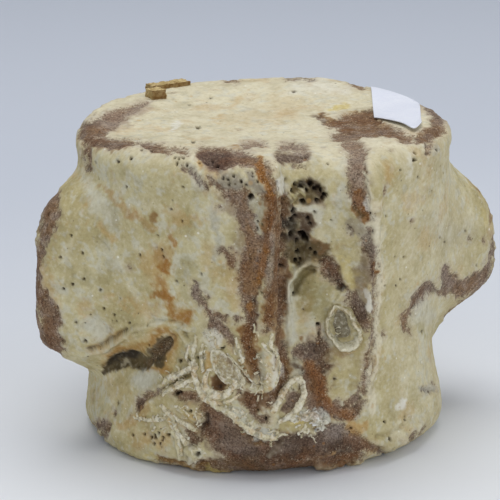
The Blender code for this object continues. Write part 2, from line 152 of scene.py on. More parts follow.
def top_height(angle, radius):
    """Height of the upper end face, which is dished in the middle and uneven at its rim."""
    rim = smoothstep(0.012, 0.040, radius)
    height = HEIGHT - END_DISH * (1 - rim)
    for middle, wide, rise in RIM_RISES:
        height = height + rim * rise * bump(turned(angle, middle), wide)
    middle, wide, depth = CANAL_NOTCH
    return height - depth * bump(turned(angle, middle), wide) * smoothstep(0.026, 0.044, radius)


def rims(angle):
    """Rounding, level and radius of the upper rim, then rounding and radius of the lower rim."""
    wear = bump(turned(angle, ARCH_WEAR_AT), ARCH_WEAR_WIDTH)
    upper_round = UPPER_ROUNDING + ARCH_SIDE_ROUNDING * wear
    lower_round = LOWER_ROUNDING + ARCH_SIDE_ROUNDING * wear
    outer = side_radius(angle, HEIGHT - UPPER_ROUNDING + 0.0 * angle)
    level = top_height(angle, outer) - upper_round
    return upper_round, level, side_radius(angle, level), lower_round, side_radius(angle, lower_round)


def surface(angle, stage):
    """A point on the bone. Stage runs 0 to 1 over the upper face, to 2 round its rim, to 3 down the side,
    to 4 round the lower rim and to 5 in over the lower face."""
    angle, stage = np.broadcast_arrays(np.asarray(angle, float), np.asarray(stage, float))
    upper_round, rim_level, upper_rim, lower_round, lower_rim = rims(angle)
    radius = (upper_rim - upper_round) * np.clip(stage, 0.0, 1.0)
    height = top_height(angle, radius)
    face_edge = top_height(angle, upper_rim - upper_round)
    turn = np.clip(stage - 1, 0.0, 1.0) * np.pi / 2
    radius = np.where(stage > 1, upper_rim - upper_round * (1 - np.sin(turn)), radius)
    height = np.where(stage > 1, rim_level + (face_edge - rim_level) * np.cos(turn), height)
    side_height = rim_level + (lower_round - rim_level) * np.clip(stage - 2, 0.0, 1.0)
    radius = np.where(stage > 2, side_radius(angle, side_height), radius)
    height = np.where(stage > 2, side_height, height)
    turn = np.clip(stage - 3, 0.0, 1.0) * np.pi / 2
    radius = np.where(stage > 3, lower_rim - lower_round * (1 - np.cos(turn)), radius)
    height = np.where(stage > 3, lower_round * (1 - np.sin(turn)), height)
    inward = (lower_rim - lower_round) * np.clip(5 - stage, 0.0, 1.0)
    dish = FOOT_DISH * (1 - smoothstep(FOOT_DISH_RADIUS - 0.010, FOOT_DISH_RADIUS, inward))
    radius = np.where(stage > 4, inward, radius)
    height = np.where(stage > 4, dish, height)
    around = np.radians(angle)
    return np.stack([AXIS_X + radius * np.sin(around), AXIS_Y - radius * np.cos(around), height], -1)


# -------------------------------- the camera of the photograph

FRAME_SIDE = 500
FOCAL_PIXELS = 2100.0
STANDOFF, CAMERA_HEIGHT = 0.511, 0.193
PITCH, YAW = math.radians(16.2), math.radians(19.6)
AXIS_PIXEL = 263.0  # the column of the picture that the bone's axis stands in
PIXEL = 0.254 * MM  # a pixel's size at the bone


def camera_frame():
    """The camera's place and its look, right and up directions."""
    away = np.array([math.sin(YAW), math.cos(YAW), 0.0])
    place = np.array([AXIS_X, AXIS_Y, CAMERA_HEIGHT]) - away * STANDOFF
    side = math.atan((AXIS_PIXEL - FRAME_SIDE / 2) / FOCAL_PIXELS * math.cos(PITCH))
    heading = YAW - side
    level = np.array([math.sin(heading), math.cos(heading), 0.0])
    look = level * math.cos(PITCH) - np.array([0.0, 0.0, math.sin(PITCH)])
    right = np.cross(look, (0.0, 0.0, 1.0))
    right /= np.linalg.norm(right)
    return place, look, right, np.cross(right, look)


CAMERA_PLACE, LOOK, RIGHT, UP = camera_frame()


def ray(x, y):
    """The direction in which the camera sees a pixel."""
    toward = LOOK * FOCAL_PIXELS + RIGHT * (x - FRAME_SIDE / 2) - UP * (y - FRAME_SIDE / 2)
    return Vector(toward / np.linalg.norm(toward))


def seen(tree, x, y):
    """Where the camera sees a pixel on a surface, or the nearest place to that line of sight."""
    start, toward = Vector(CAMERA_PLACE), ray(x, y)
    hit, normal, _, _ = tree.ray_cast(start, toward)
    if hit is not None:
        return hit, normal
    steps = (tree.find_nearest(start + toward * reach) for reach in np.linspace(0.42, 0.62, 80))
    hit, normal, _, _ = min(steps, key=lambda found: found[3])
    return hit, normal


# -------------------------------- repeatable noise

AROUND = list(itertools.product((-1, 0, 1), repeat=3))  # from a cell of a grid to itself and its neighbours
GRADIENTS = np.array([push for push in AROUND if sum(map(abs, push)) == 2], np.float32)
HASH = np.array([374761393, 668265263, 1440662683], np.int64)
LOW_BITS = np.int64(0xFFFFFFFF)


def scrambled(cells, seed):
    """A repeatable whole number under 2**32 for each cell of a grid."""
    number = (cells @ HASH + seed * 1013904223) & LOW_BITS
    number = ((number ^ (number >> 13)) * 1274126177) & LOW_BITS
    number = ((number ^ (number >> 15)) * 747796405) & LOW_BITS
    return number ^ (number >> 16)


def noise(points, size, seed):
    """Smooth noise, about -1 to 1, with lumps about size across."""
    place = points / size + 31.7 * seed
    cell = np.floor(place).astype(np.int64)
    part = (place - cell).astype(np.float32)
    fade = part**3 * (part * (6 * part - 15) + 10)
    total = np.zeros(len(points), np.float32)
    for corner in itertools.product((0, 1), repeat=3):
        push = GRADIENTS[scrambled(cell + np.array(corner), seed) % len(GRADIENTS)]
        weight = np.prod(np.where(corner, fade, 1 - fade), axis=1)
        total += np.sum(push * (part - np.array(corner, np.float32)), axis=1) * weight
    return total * 1.5


def layered(points, size, seed, layers=3, falloff=0.5):
    """Noise with finer layers on it, about -1 to 1."""
    total, most = 0.0, 0.0
    for layer in range(layers):
        total = total + noise(points, size / 2**layer, seed + layer) * falloff**layer
        most += falloff**layer
    return total / most


def cells(points, size, seed):
    """Distance from each point to the nearest of scattered points, as a share of size, and that point's own
    number, 0 to 1."""
    place = points / size + 17.3 * seed
    cell = np.floor(place).astype(np.int64)
    nearest = np.full(len(points), 9.0, np.float32)
    number = np.zeros(len(points), np.float32)
    for corner in AROUND:
        here = cell + np.array(corner)
        pick = scrambled(here, seed)
        spot = np.stack([(pick & 1023), (pick >> 10) & 1023, (pick >> 20) & 1023], -1) / 1023.0
        distance = np.linalg.norm(here + spot - place, axis=1).astype(np.float32)
        nearer = distance < nearest
        nearest = np.where(nearer, distance, nearest)
        number = np.where(nearer, (pick % 997) / 997.0, number)
    return nearest, number


# -------------------------------- colours

def linear(red, green, blue):
    """A screen colour, 0 to 255, as the render's own values."""
    share = np.array([red, green, blue]) / 255.0
    return np.where(share <= 0.04045, share / 12.92, ((share + 0.055) / 1.055) ** 2.4)


CREAM = linear(200, 190, 150)
OLIVE_CREAM = linear(186, 173, 128)
PALE = linear(224, 216, 190)
CHALK = linear(232, 230, 220)
COOL_WHITE = linear(204, 204, 192)
OLIVE = linear(146, 136, 92)
DARK_OLIVE = linear(88, 76, 50)
OCHRE = linear(190, 150, 88)
YELLOW = linear(210, 190, 114)
RUST = linear(116, 74, 34)
ORANGE = linear(150, 98, 44)
RUST_ORANGE = linear(150, 98, 38)
RED_BROWN = linear(108, 76, 48)
BROWN = linear(138, 108, 78)
PURPLE_BROWN = linear(130, 108, 90)
PINK_BROWN = linear(174, 156, 138)
DARK_BROWN = linear(70, 52, 38)
GREY = linear(164, 158, 138)
COOL_GREY = linear(170, 168, 158)
NEAR_BLACK = linear(36, 30, 24)
SHELL_WHITE = linear(224, 215, 186)

# -------------------------------- marks, as lines of (x, y, half width) in pixels

BARE_PATCHES = {
    "rim_left_over": ((148, 103, 1.5), (138, 107, 3.5), (126, 113, 5), (112, 120, 8), (98, 127, 11),
        (87, 131, 9)),
    "rim_left": ((83, 136, 6), (98, 141, 7), (115, 144, 6), (131, 144, 4)),
    "rim_left_run": ((87, 146, 4), (89, 157, 3.5), (90, 170, 2.5)),
    "rim_middle": ((138, 143, 3), (150, 147, 5), (162, 150, 5), (170, 151, 3)),
    "rim_spots": ((174, 149, 2.2), (182, 152, 3), (188, 154, 2)),
    "dark_shoulder": ((203, 152, 6), (214, 158, 10), (228, 160, 10), (240, 157, 8)),
    "shoulder_smudge": ((244, 147, 4), (256, 145, 4), (263, 146, 3)),
    "shoulder_band": ((243, 160, 8), (254, 162, 7), (261, 168, 7)),
    "notch_smudge": ((281, 147, 3), (292, 147, 4.5), (303, 150, 3.5)),
    "notch_dark": ((279, 158, 4), (290, 158, 4.5), (301, 158, 5), (308, 156, 3)),
    "notch_foot": ((296, 166, 2.2), (305, 168, 2.5)),
    "diagonal_streak": ((184, 168, 2), (195, 177, 3), (206, 187, 3)),
    "red_blob": ((210, 179, 2.6), (213, 182, 3)),
    "main_band": ((222, 184, 7), (234, 192, 10), (246, 206, 12), (252, 226, 12), (256, 245, 13),
        (254, 262, 15), (250, 280, 12), (247, 297, 9), (251, 312, 8), (252, 330, 7), (247, 342, 7),
        (250, 356, 8), (254, 370, 6), (256, 378, 3)),
    "crest_band": ((262, 170, 9), (268, 185, 9), (272, 200, 9), (274, 220, 9), (275, 240, 9), (272, 262, 9),
        (271, 282, 8), (270, 300, 5), (269, 316, 5), (267, 329, 4)),
    "groove": ((286, 196, 3), (285, 215, 3.5), (283, 240, 4), (281, 262, 5), (280, 285, 5), (280, 305, 5),
        (280, 322, 4)),
    "groove_foot": ((277, 330, 3.5), (278, 345, 3.5), (282, 357, 4.5), (284, 372, 4), (279, 386, 5),
        (272, 396, 5)),
    "side_patch": ((219, 252, 2.5), (226, 251, 4), (230, 260, 5), (232, 267, 3)),
    "sliver": ((196, 283, 2.5), (195, 292, 5), (200, 299, 4), (206, 307, 3), (209, 316, 4), (213, 324, 6),
        (221, 326, 6), (227, 336, 5), (232, 343, 4)),
    "sliver_spur": ((206, 293, 0.8), (207, 303, 1.6)),
    "sliver_side": ((215, 316, 4), (224, 318, 3)),
    "smudge": ((236, 320, 3), (240, 319, 3)),
    "shell_side": ((238, 387, 2.5), (239, 393, 3)),
    "frill_patch": ((249, 396, 3.5), (256, 400, 4.5)),
    "band_top_left": ((320, 119, 2), (330, 124, 4), (341, 123, 6), (356, 118, 7), (372, 114, 6)),
    "band_top_middle": ((342, 129, 5), (356, 126, 8), (372, 122, 9)),
    "band_top": ((337, 137, 6), (352, 135, 8), (370, 130, 9), (390, 132, 7), (404, 138, 5), (411, 138, 4)),
    "right_band": ((350, 146, 8), (359, 154, 8), (356, 165, 9), (357, 178, 9), (358, 190, 9), (360, 203, 9),
        (366, 213, 5), (371, 220, 2)),
    "crest_line": ((371, 230, 3), (371, 243, 5), (373, 256, 4.5), (374, 268, 4), (374, 285, 2.6),
        (374, 300, 2.6), (372, 320, 3), (371, 335, 2.6), (369, 350, 2.6), (367, 366, 2.8), (366, 380, 3.4),
        (363, 392, 4)),
    "grey_patch_spots": ((348, 227, 2.2), (350, 233, 2.4)),
    "speckled_down": ((366, 240, 4), (366, 252, 3)),
    "oyster_dark": ((326, 262, 6), (330, 270, 9), (336, 277, 5), (339, 284, 2.4)),
    "pocket_beside_oyster": ((346, 290, 2.6), (347, 300, 3)),
    "granular_right": ((353, 294, 4.5), (356, 304, 6.5), (360, 315, 7.5), (366, 325, 6)),
    "canal_slot": ((318, 326, 1.6), (319, 334, 1.8), (321, 342, 4)),
    "canal_foot": ((309, 346, 5), (320, 352, 12), (325, 361, 9), (313, 364, 8)),
    "smooth_red": ((310, 373, 7), (314, 386, 9), (316, 400, 9), (322, 411, 9)),
    "right_foot": ((345, 399, 3), (352, 398, 8), (357, 391, 5), (340, 411, 10), (352, 412, 8),
        (361, 404, 4)),
    "lip_left": ((203, 408, 4), (210, 419, 8), (213, 432, 12), (226, 444, 13), (243, 452, 13),
        (262, 454, 12)),
    "lip_left_upper": ((226, 424, 5), (236, 434, 7), (248, 443, 6)),
    "lip_right": ((278, 450, 14), (300, 447, 15), (320, 441, 14), (340, 436, 13), (356, 442, 10),
        (371, 447, 6), (381, 451, 4)),
    "lip_inner": ((190, 430, 4), (194, 439, 6)),
    "lower_edge": ((160, 457, 2.5), (175, 463, 4), (195, 467, 5), (215, 466, 8), (240, 467, 10),
        (270, 469, 10), (300, 468, 9), (330, 464, 8), (358, 457, 6)),
    "pocket_left": ((177, 394, 2.6), (186, 396, 4.5), (195, 398, 4.5)),
    "hollow": ((150, 360, 4), (160, 351, 4), (167, 342, 3)),
    "diagonal_low": ((158, 390, 2.2), (150, 395, 4), (144, 399, 4), (138, 406, 4)),
    "foot_left": ((97, 425, 4), (104, 424, 4), (105, 432, 3), (103, 438, 3)),
    "left_process_edge": ((58, 190, 3), (52, 200, 8), (50, 214, 10), (48, 226, 9), (44, 236, 8),
        (40, 244, 5), (38, 260, 5), (36, 273, 4.5), (37, 286, 6), (41, 298, 9), (47, 311, 11),
        (53, 321, 10), (48, 334, 9), (54, 346, 11), (55, 354, 8)),
    "right_process_band": ((490, 262, 4), (486, 275, 7), (474, 283, 9), (460, 288, 10), (450, 281, 7),
        (445, 269, 4.5), (446, 290, 6), (434, 288, 6), (425, 287, 6), (416, 298, 5), (410, 309, 4),
        (405, 317, 4.5), (405, 326, 3.5), (409, 335, 2)),
    "right_process_under": ((484, 290, 6), (472, 302, 7), (459, 309, 6), (448, 316, 4)),
    "right_process_rim": ((491, 236, 1.8), (492, 245, 2.5), (492, 256, 4)),
    "rim_right": ((424, 106, 3), (431, 111, 4), (437, 118, 7), (438, 130, 7), (428, 137, 6), (420, 138, 5)),
    "rim_right_run": ((430, 146, 3.5), (427, 155, 2)),
    "back_rim": ((286, 80, 1.6), (300, 79, 2.2), (314, 80, 1.6)),
    "back_rim_label": ((352, 84, 2.6), (362, 87, 4)),
    "back_rim_left": ((225, 82, 2), (238, 82, 2)),
    "right_foot_spots": ((424, 389, 2.6), (431, 388, 2.6)),
    "right_foot_edge": ((421, 426, 3), (416, 433, 3.4), (405, 441, 2.4)),
}

CRUST_ISLANDS = {
    "plate_upper_left": ((221, 177, 5), (230, 181, 8), (239, 185, 5)),
    "plate_upper_right": ((251, 178, 4.5), (257, 186, 7)),
    "plate_middle": ((255, 205, 7.5), (266, 206, 5), (262, 213, 5)),
    "plate_lower": ((261, 221, 5.5), (261, 230, 4)),
    "white_strip": ((281, 178, 2.6), (281, 188, 3.2), (281, 195, 2)),
    "side_gap": ((239, 251, 3), (239, 258, 3)),
    "band_plate": ((258, 297, 3.6), (262, 303, 5), (262, 311, 4)),
    "band_strip": ((259, 319, 3.4), (259, 331, 4), (256, 341, 4)),
    "band_dot": ((244, 323, 2.4),),
    "groove_plate": ((270, 337, 4.5), (269, 344, 4)),
    "right_plate": ((332, 357, 6), (345, 362, 10), (352, 374, 11), (342, 384, 10), (352, 390, 5),
        (341, 396, 4), (341, 402, 2.6)),
    "white_patch_upper": ((369, 203, 3), (369, 208, 2)),
    "right_whites": ((368, 290, 3.4), (369, 300, 4), (370, 308, 3)),
    "process_ring": ((438, 283, 3.2), (439, 288, 2.4)),
    "edge_lumps": ((319, 466, 4), (332, 468, 5), (346, 467, 6), (359, 463, 5), (368, 457, 3)),
    "edge_thread": ((146, 453, 1.6), (165, 459, 1.2), (192, 467, 2), (210, 470, 2.2), (229, 473, 2)),
}

# The ground among the worm tubes, and the raised lumps of crust on it: rise in millimetres, line
FINE_BARE = {
    "tube_ground": ((224, 332, 4), (233, 342, 5), (247, 350, 8), (250, 368, 8), (254, 385, 7),
        (252, 402, 9), (263, 418, 6)),
    "groove_low": ((283, 345, 4.5), (284, 362, 4.5), (284, 378, 4.5), (277, 391, 5.5), (270, 402, 5)),
    "behind_scar": ((300, 352, 8), (312, 372, 12), (316, 395, 12), (318, 412, 10)),
    "beside_hairpin": ((305, 384, 7), (309, 402, 8), (296, 398, 6), (285, 402, 8)),
    "below_ridge": ((203, 403, 3), (212, 415, 8), (224, 427, 10), (240, 440, 12), (262, 452, 12),
        (286, 446, 12)),
}
LUMPS = {
    "valve_plate": (0.5, ((215, 354, 4), (222, 364, 6), (229, 373, 7), (238, 384, 5))),
    "rib_right": (0.6, ((236, 338, 2), (238, 348, 4.5), (242, 360, 4), (249, 371, 3.5), (256, 381, 4))),
    "knob_plate": (1.0, ((211, 333, 4.5), (213, 342, 5), (222, 347, 4.5))),
    "mouth_rim": (0.5, ((206, 370, 4), (205, 384, 5), (211, 395, 5.5), (222, 400, 5.5), (233, 397, 5),
        (240, 389, 3))),
    "frill_join": (0.6, ((243, 385, 4), (250, 388, 5), (259, 390, 5), (268, 387, 5))),
    "grey_plate": (0.4, ((257, 331, 4), (256, 344, 4), (262, 353, 5.5), (264, 366, 7), (270, 375, 7.5),
        (271, 385, 6))),
    "plate_fork": (0.6, ((273, 332, 2.4), (272, 343, 3.4), (275, 353, 3.4))),
    "tongue": (0.5, ((241, 396, 3.4), (240, 404, 4.4))),
    "tongue_right": (0.5, ((266, 397, 3), (263, 405, 5), (262, 412, 4))),
    "frill": (0.7, ((228, 409, 4), (238, 414, 5), (248, 422, 6), (258, 430, 6), (269, 436, 5),
        (278, 437, 3))),
    "hairpin_left": (0.4, ((275, 409, 4.4), (282, 398, 4.4), (289, 388, 4.4), (297, 381, 4))),
    "hairpin_right": (0.3, ((303, 389, 3), (301, 402, 4), (291, 415, 4), (281, 421, 4))),
    "white_lump": (1.3, ((301, 418, 3.4), (309, 415, 4.4), (317, 419, 4.4), (320, 424, 2.6))),
    "yellow_foot": (0.5, ((287, 421, 3.6), (295, 421, 3))),
    "low_patch": (0.8, ((301, 430, 5), (312, 432, 5))),
    "right_knob": (1.0, ((428, 386, 3.5), (434, 392, 3.5), (430, 398, 3))),
    "right_knob_low": (0.8, ((424, 418, 4), (416, 428, 4))),
    "right_foot_edge": (0.9, ((384, 448, 3), (392, 446, 4), (404, 440, 4))),
    "low_patch_left": (0.6, ((281, 444, 3), (274, 450, 4.5), (269, 456, 3))),
    "scar": (1.0, ((295, 366, 8),)),
    "shelf": (1.3, ((181, 406, 5), (191, 411, 7.5), (200, 419, 5))),
    "shelf_lip": (0.6, ((174, 417, 2.6), (187, 424, 3), (198, 430, 3))),
    "mouth_lump": (1.5, ((188, 450, 5), (197, 453, 8), (190, 460, 4))),
    "fan_arcs": (0.6, ((138, 416, 2.6), (150, 419, 3), (162, 418, 3), (171, 420, 2.4))),
}

# Stains, and some painted shade and shadows: colour, strength, softness in pixels, line
STAINS_AND_SHADE = {
    "dark_shoulder": (linear(82, 56, 42), 0.95, 5, ((205, 158, 5), (216, 163, 8), (226, 162, 6))),
    "shoulder_grain": (PINK_BROWN, 0.5, 4, ((238, 150, 5), (252, 146, 5), (262, 146, 3))),
    "nick": (ORANGE, 0.6, 2, ((230, 149, 1), (238, 148, 1))),
    "shoulder_spot": (OCHRE, 0.8, 2, ((199, 167, 3),)),
    "notch_smudge": (PINK_BROWN, 0.5, 3, ((281, 147, 3), (303, 150, 4))),
    "notch_dark": (DARK_BROWN, 0.6, 4, ((282, 158, 4), (306, 157, 4))),
    "streak_grey": (COOL_GREY, 0.5, 2, ((184, 168, 2), (206, 187, 3))),
    "plate_upper_left": (linear(140, 132, 118), 0.9, 3, ((221, 177, 5), (232, 181, 7), (239, 186, 5))),
    "plate_upper_right": (linear(148, 140, 126), 0.9, 3, ((251, 178, 4), (257, 187, 6))),
    "plate_middle": (COOL_GREY, 0.6, 3, ((255, 205, 7), (266, 207, 5), (261, 222, 5), (261, 230, 4))),
    "rust_a": (RUST_ORANGE, 0.95, 2, ((257, 160, 3), (261, 170, 4), (266, 182, 4), (268, 188, 4),
        (270, 197, 5))),
    "rust_b": (RUST, 0.95, 3, ((270, 200, 4), (273, 212, 5), (272, 225, 5.5), (270, 236, 4), (262, 252, 4),
        (260, 270, 4))),
    "rust_c": (RUST_ORANGE, 0.8, 3, ((262, 250, 3), (261, 264, 3), (262, 278, 3))),
    "rust_d": (RUST, 0.9, 3, ((268, 290, 4), (270, 306, 4.5), (269, 322, 4))),
    "rust_light": (RUST_ORANGE, 0.6, 3, ((246, 224, 3), (250, 246, 4), (248, 268, 4), (252, 290, 4),
        (258, 276, 4))),
    "rust_e": (RUST_ORANGE, 0.85, 3, ((249, 305, 3), (253, 312, 3))),
    "dark_e": (DARK_BROWN, 0.6, 3, ((254, 301, 3), (256, 314, 3), (252, 328, 3))),
    "rust_f": (RUST, 0.6, 3, ((244, 333, 4), (250, 340, 5), (252, 352, 3), (255, 372, 3))),
    "band_olive": (PURPLE_BROWN, 0.5, 6, ((228, 195, 6), (244, 212, 8), (248, 232, 8), (244, 262, 8),
        (250, 286, 8))),
    "band_grey": (GREY, 0.45, 4, ((270, 254, 4), (271, 272, 5), (271, 288, 4))),
    # Painted shade: a dark line down the groove's steep left wall
    "groove_wall_shade": (DARK_BROWN, 0.6, 2, ((284, 208, 1.5), (283, 240, 1.8), (282, 265, 2.5), (280, 300, 2.5),
        (280, 318, 2))),
    "groove_red": (RED_BROWN, 0.7, 2, ((277, 262, 2), (277, 285, 2), (276, 300, 1.5))),
    "blue_streak": (COOL_GREY, 0.5, 3, ((214, 214, 2), (214, 233, 2), (217, 246, 2), (217, 259, 2.5))),
    "bright_strip": (CHALK, 0.9, 2, ((281, 178, 3), (281, 195, 2.6))),
    "olive_smudge": (OLIVE, 0.4, 5, ((187, 258, 4), (193, 264, 4))),
    "ochre_patch": (OCHRE, 0.35, 6, ((224, 272, 5), (232, 284, 7), (234, 296, 5), (236, 306, 4))),
    "ochre_high": (OCHRE, 0.3, 6, ((209, 252, 4), (211, 268, 4))),
    "canal_upper": (OLIVE_CREAM, 0.6, 6, ((292, 175, 5), (318, 172, 6), (338, 184, 6))),
    "canal_olive": (linear(98, 82, 50), 0.97, 2.5, ((294, 188, 5), (303, 185, 7), (314, 187, 9),
        (322, 192, 6), (316, 200, 6), (304, 201, 6), (294, 200, 4))),
    "canal_struts": (linear(196, 184, 134), 0.7, 1, ((291, 206, 2), (296, 202, 1.2), (297, 195, 1),
        (302, 192, 1), (306, 197, 1))),
    "canal_struts_b": (linear(206, 194, 140), 0.85, 1.2, ((289, 194, 1.2), (295, 199, 1))),
    "canal_ring": (linear(214, 204, 168), 0.9, 1, ((301, 187, 0.8), (302, 184.5, 0.8), (305, 185.5, 0.8),
        (308.5, 189, 0.8), (307.5, 191.5, 0.8), (304, 190.5, 0.8), (301, 187, 0.8))),
    "canal_olive_spots": (NEAR_BLACK, 0.6, 2.5, ((312, 184, 3), (323, 192, 3), (302, 181, 2))),
    "canal_pale": (CHALK, 0.45, 4, ((300, 214, 4), (312, 213, 5), (320, 214, 4))),
    "canal_hole_ring": (PINK_BROWN, 0.6, 2, ((314, 204, 3), (320, 206, 3))),
    "canal_grey": (GREY, 0.6, 4, ((292, 222, 4), (304, 222, 5), (309, 226, 3))),
    "canal_brown_low": (linear(92, 80, 54), 0.95, 3, ((292, 222, 4), (296, 230, 7), (300, 240, 9),
        (297, 252, 8), (308, 248, 7), (320, 251, 7))),
    "canal_dark": (linear(96, 78, 50), 0.75, 5, ((292, 236, 5), (303, 240, 6), (298, 252, 7), (311, 252, 7),
        (322, 256, 5))),
    "canal_dark_rim": (NEAR_BLACK, 0.5, 3, ((291, 212, 3), (293, 235, 3), (303, 237, 4))),
    "canal_warm": (linear(128, 96, 62), 0.7, 2, ((308, 244, 2), (316, 247, 3), (324, 250, 3),
        (298, 228, 2))),
    "canal_web": (linear(178, 166, 124), 0.75, 1, ((291, 230, 1), (297, 236, 1), (304, 234, 1),
        (309, 240, 1), (302, 247, 1))),
    "canal_web_b": (linear(170, 158, 118), 0.7, 1, ((290, 244, 1), (296, 250, 1.2), (305, 252, 1),
        (314, 256, 1.2))),
    "blue_thread": (COOL_WHITE, 0.8, 2, ((341, 188, 1.2), (337, 196, 1.4), (339, 205, 1.4))),
    "right_band_pink": (PINK_BROWN, 0.6, 6, ((350, 148, 7), (358, 160, 8), (357, 176, 8), (358, 188, 6))),
    "right_band_rust": (linear(132, 84, 36), 0.98, 2, ((356, 197, 5), (360, 205, 8), (366, 213, 6),
        (371, 220, 3))),
    "right_band_dusk": (DARK_OLIVE, 0.6, 2, ((356, 205, 2), (361, 213, 2.4), (365, 214, 2))),
    "right_band_streak": (RUST, 0.7, 2, ((320, 118, 2), (336, 122, 2), (351, 129, 2))),
    "right_band_dark": (DARK_BROWN, 0.5, 2.5, ((316, 119, 2), (320, 118, 2))),
    "rim_label_brown": (RUST, 0.35, 4, ((352, 118, 3), (374, 118, 4), (386, 129, 4))),
    "grey_patch": (linear(150, 140, 124), 0.85, 3, ((350, 221, 5), (360, 224, 8), (367, 236, 6),
        (371, 250, 4))),
    "white_patch": (CHALK, 0.9, 2, ((369, 201, 3), (369, 208, 2.4))),
    "crest_light": (PALE, 0.9, 2.5, ((367, 172, 1.6), (372, 198, 2), (377, 232, 2.4), (379, 262, 2.6),
        (379, 300, 2.6), (376, 332, 2.6), (373, 362, 2.6), (369, 392, 2.6), (369, 412, 3))),
    "rust_spot": (ORANGE, 0.9, 2, ((372, 268, 4),)),
    "dark_beside_spot": (DARK_BROWN, 0.6, 2, ((368, 269, 2),)),
    "speckle_dark": (DARK_BROWN, 0.35, 4, ((356, 304, 6), (360, 314, 7), (368, 250, 5))),
    "right_whites": (CHALK, 0.85, 2.5, ((367, 290, 3), (370, 300, 4.5), (370, 309, 3))),
    "oyster_olive": (OLIVE, 0.55, 5, ((300, 290, 5), (305, 278, 6), (312, 270, 5))),
    "oyster_crescent": (DARK_OLIVE, 0.75, 4, ((297, 290, 2.6), (299, 281, 4), (305, 273, 4),
        (314, 270, 3))),
    "oyster_edge": (PALE, 0.6, 2, ((288, 296, 2), (288, 284, 2.4), (293, 272, 2.4), (301, 265, 2.2),
        (310, 262, 2))),
    "oyster_yellow": (YELLOW, 0.5, 6, ((344, 262, 5), (348, 272, 7), (352, 280, 5))),
    "oyster_brown": (DARK_BROWN, 0.45, 3, ((328, 264, 4), (336, 276, 4), (339, 283, 2))),
    "oyster_slot": (NEAR_BLACK, 0.8, 1.2, ((335.5, 278.5, 1.4), (339.5, 285, 1.6))),
    "oyster_bronze": (linear(150, 132, 84), 0.7, 6, ((309, 276, 4), (308, 290, 5), (306, 304, 5))),
    "plate_edge_pale": (COOL_WHITE, 0.55, 3, ((290, 275, 3), (290, 300, 3.5), (291, 325, 3.5),
        (291, 342, 3.5))),
    "plate_ochre": (OCHRE, 0.35, 6, ((306, 308, 6), (310, 316, 4))),
    "plate_shade": (OLIVE, 0.35, 5, ((318, 300, 5), (322, 312, 5), (322, 322, 4))),
    "plate_spot": (RUST, 0.7, 2, ((299, 337, 2.2), (301, 337, 2))),
    "barnacle_grey": (GREY, 0.8, 3, ((341, 318, 5), (342, 330, 7))),
    # Painted shadow: brown along the foot under the barnacle
    "barnacle_shadow": (BROWN, 0.5, 3, ((336, 353, 2.4), (350, 352, 2.6), (360, 343, 2.4), (364, 336, 2))),
    "canal_foot_dark": (DARK_BROWN, 0.55, 5, ((312, 348, 6), (322, 354, 9), (322, 364, 6))),
    "smooth_red": (RED_BROWN, 0.95, 6, ((310, 374, 6), (313, 388, 8), (316, 400, 8), (322, 411, 7))),
    "smooth_rust": (RUST, 0.5, 4, ((305, 370, 3), (318, 396, 5), (330, 412, 5), (338, 417, 4))),
    "scar_grey": (GREY, 0.9, 2, ((295, 366, 7),)),
    "scar_dark": (DARK_BROWN, 0.6, 2, ((299, 363, 1.8), (291, 366, 1.4))),
    "groove_foot_rust": (RUST, 0.5, 3, ((283, 352, 3), (285, 372, 3), (276, 390, 4))),
    "plate_right_spot": (PINK_BROWN, 0.7, 2, ((334, 378, 2.6),)),
    "foot_ochre": (OCHRE, 0.8, 3, ((350, 425, 4), (358, 427, 5), (363, 423, 3))),
    "foot_rust": (linear(138, 86, 42), 0.7, 4, ((308, 362, 4), (317, 378, 5), (320, 394, 6), (326, 408, 5),
        (346, 414, 5))),
    "foot_cool": (COOL_GREY, 0.35, 6, ((336, 428, 7), (346, 438, 8), (340, 448, 6))),
    "lip_purple": (linear(104, 84, 68), 0.7, 8, ((215, 430, 8), (232, 446, 10), (262, 456, 8),
        (300, 448, 10))),
    "lip_right_dark": (linear(102, 82, 68), 0.7, 6, ((296, 448, 10), (322, 444, 9), (344, 442, 8))),
    "bottom_brown": (linear(112, 84, 54), 0.8, 5, ((200, 467, 4), (240, 470, 5), (280, 471, 5),
        (320, 468, 5), (352, 460, 4))),
    "groove_wide": (linear(130, 92, 58), 0.8, 3, ((284, 200, 3), (282, 240, 4), (280, 265, 5),
        (279, 300, 5), (280, 330, 4), (283, 360, 4))),
    "groove_pale": (linear(176, 156, 130), 0.8, 2, ((279, 205, 1.6), (279, 225, 2), (277, 245, 1.6))),
    "lip_rust": (linear(150, 112, 58), 0.8, 3, ((240, 430, 3), (250, 438, 3.6), (260, 440, 4),
        (268, 443, 3))),
    "lip_grey": (linear(140, 128, 122), 0.55, 5, ((212, 424, 5), (228, 440, 6), (246, 454, 5),
        (282, 446, 5), (336, 432, 7))),
    "lip_red": (linear(106, 68, 46), 0.45, 5, ((306, 446, 6), (322, 450, 7), (344, 456, 5), (270, 462, 4))),
    "lip_rust_b": (linear(126, 82, 44), 0.6, 4, ((284, 456, 3), (296, 460, 4), (312, 452, 3), (326, 458, 4),
        (352, 457, 4))),
    "lip_dark": (DARK_BROWN, 0.5, 5, ((196, 424, 4), (202, 432, 5), (352, 446, 6), (240, 458, 6))),
    "edge_thread": (YELLOW, 0.6, 2, ((150, 456, 1.6), (192, 467, 2), (229, 473, 2))),
    "frill": (COOL_WHITE, 0.85, 3, ((236, 410, 4), (246, 420, 5), (256, 431, 6), (266, 437, 4))),
    "arch_lump": (COOL_WHITE, 0.9, 2.5, ((302, 412, 3), (312, 413, 4), (321, 419, 4))),
    "arch_yellow": (YELLOW, 0.6, 3, ((290, 420, 3), (298, 420, 4))),
    "hairpin_ground": (PURPLE_BROWN, 0.95, 2, ((285, 411, 2.6), (290, 402, 3.4), (294, 393, 2.4))),
    "mouth_floor": (RED_BROWN, 0.98, 1.4, ((219, 378.5, 6.4), (219.5, 384.5, 6.4))),
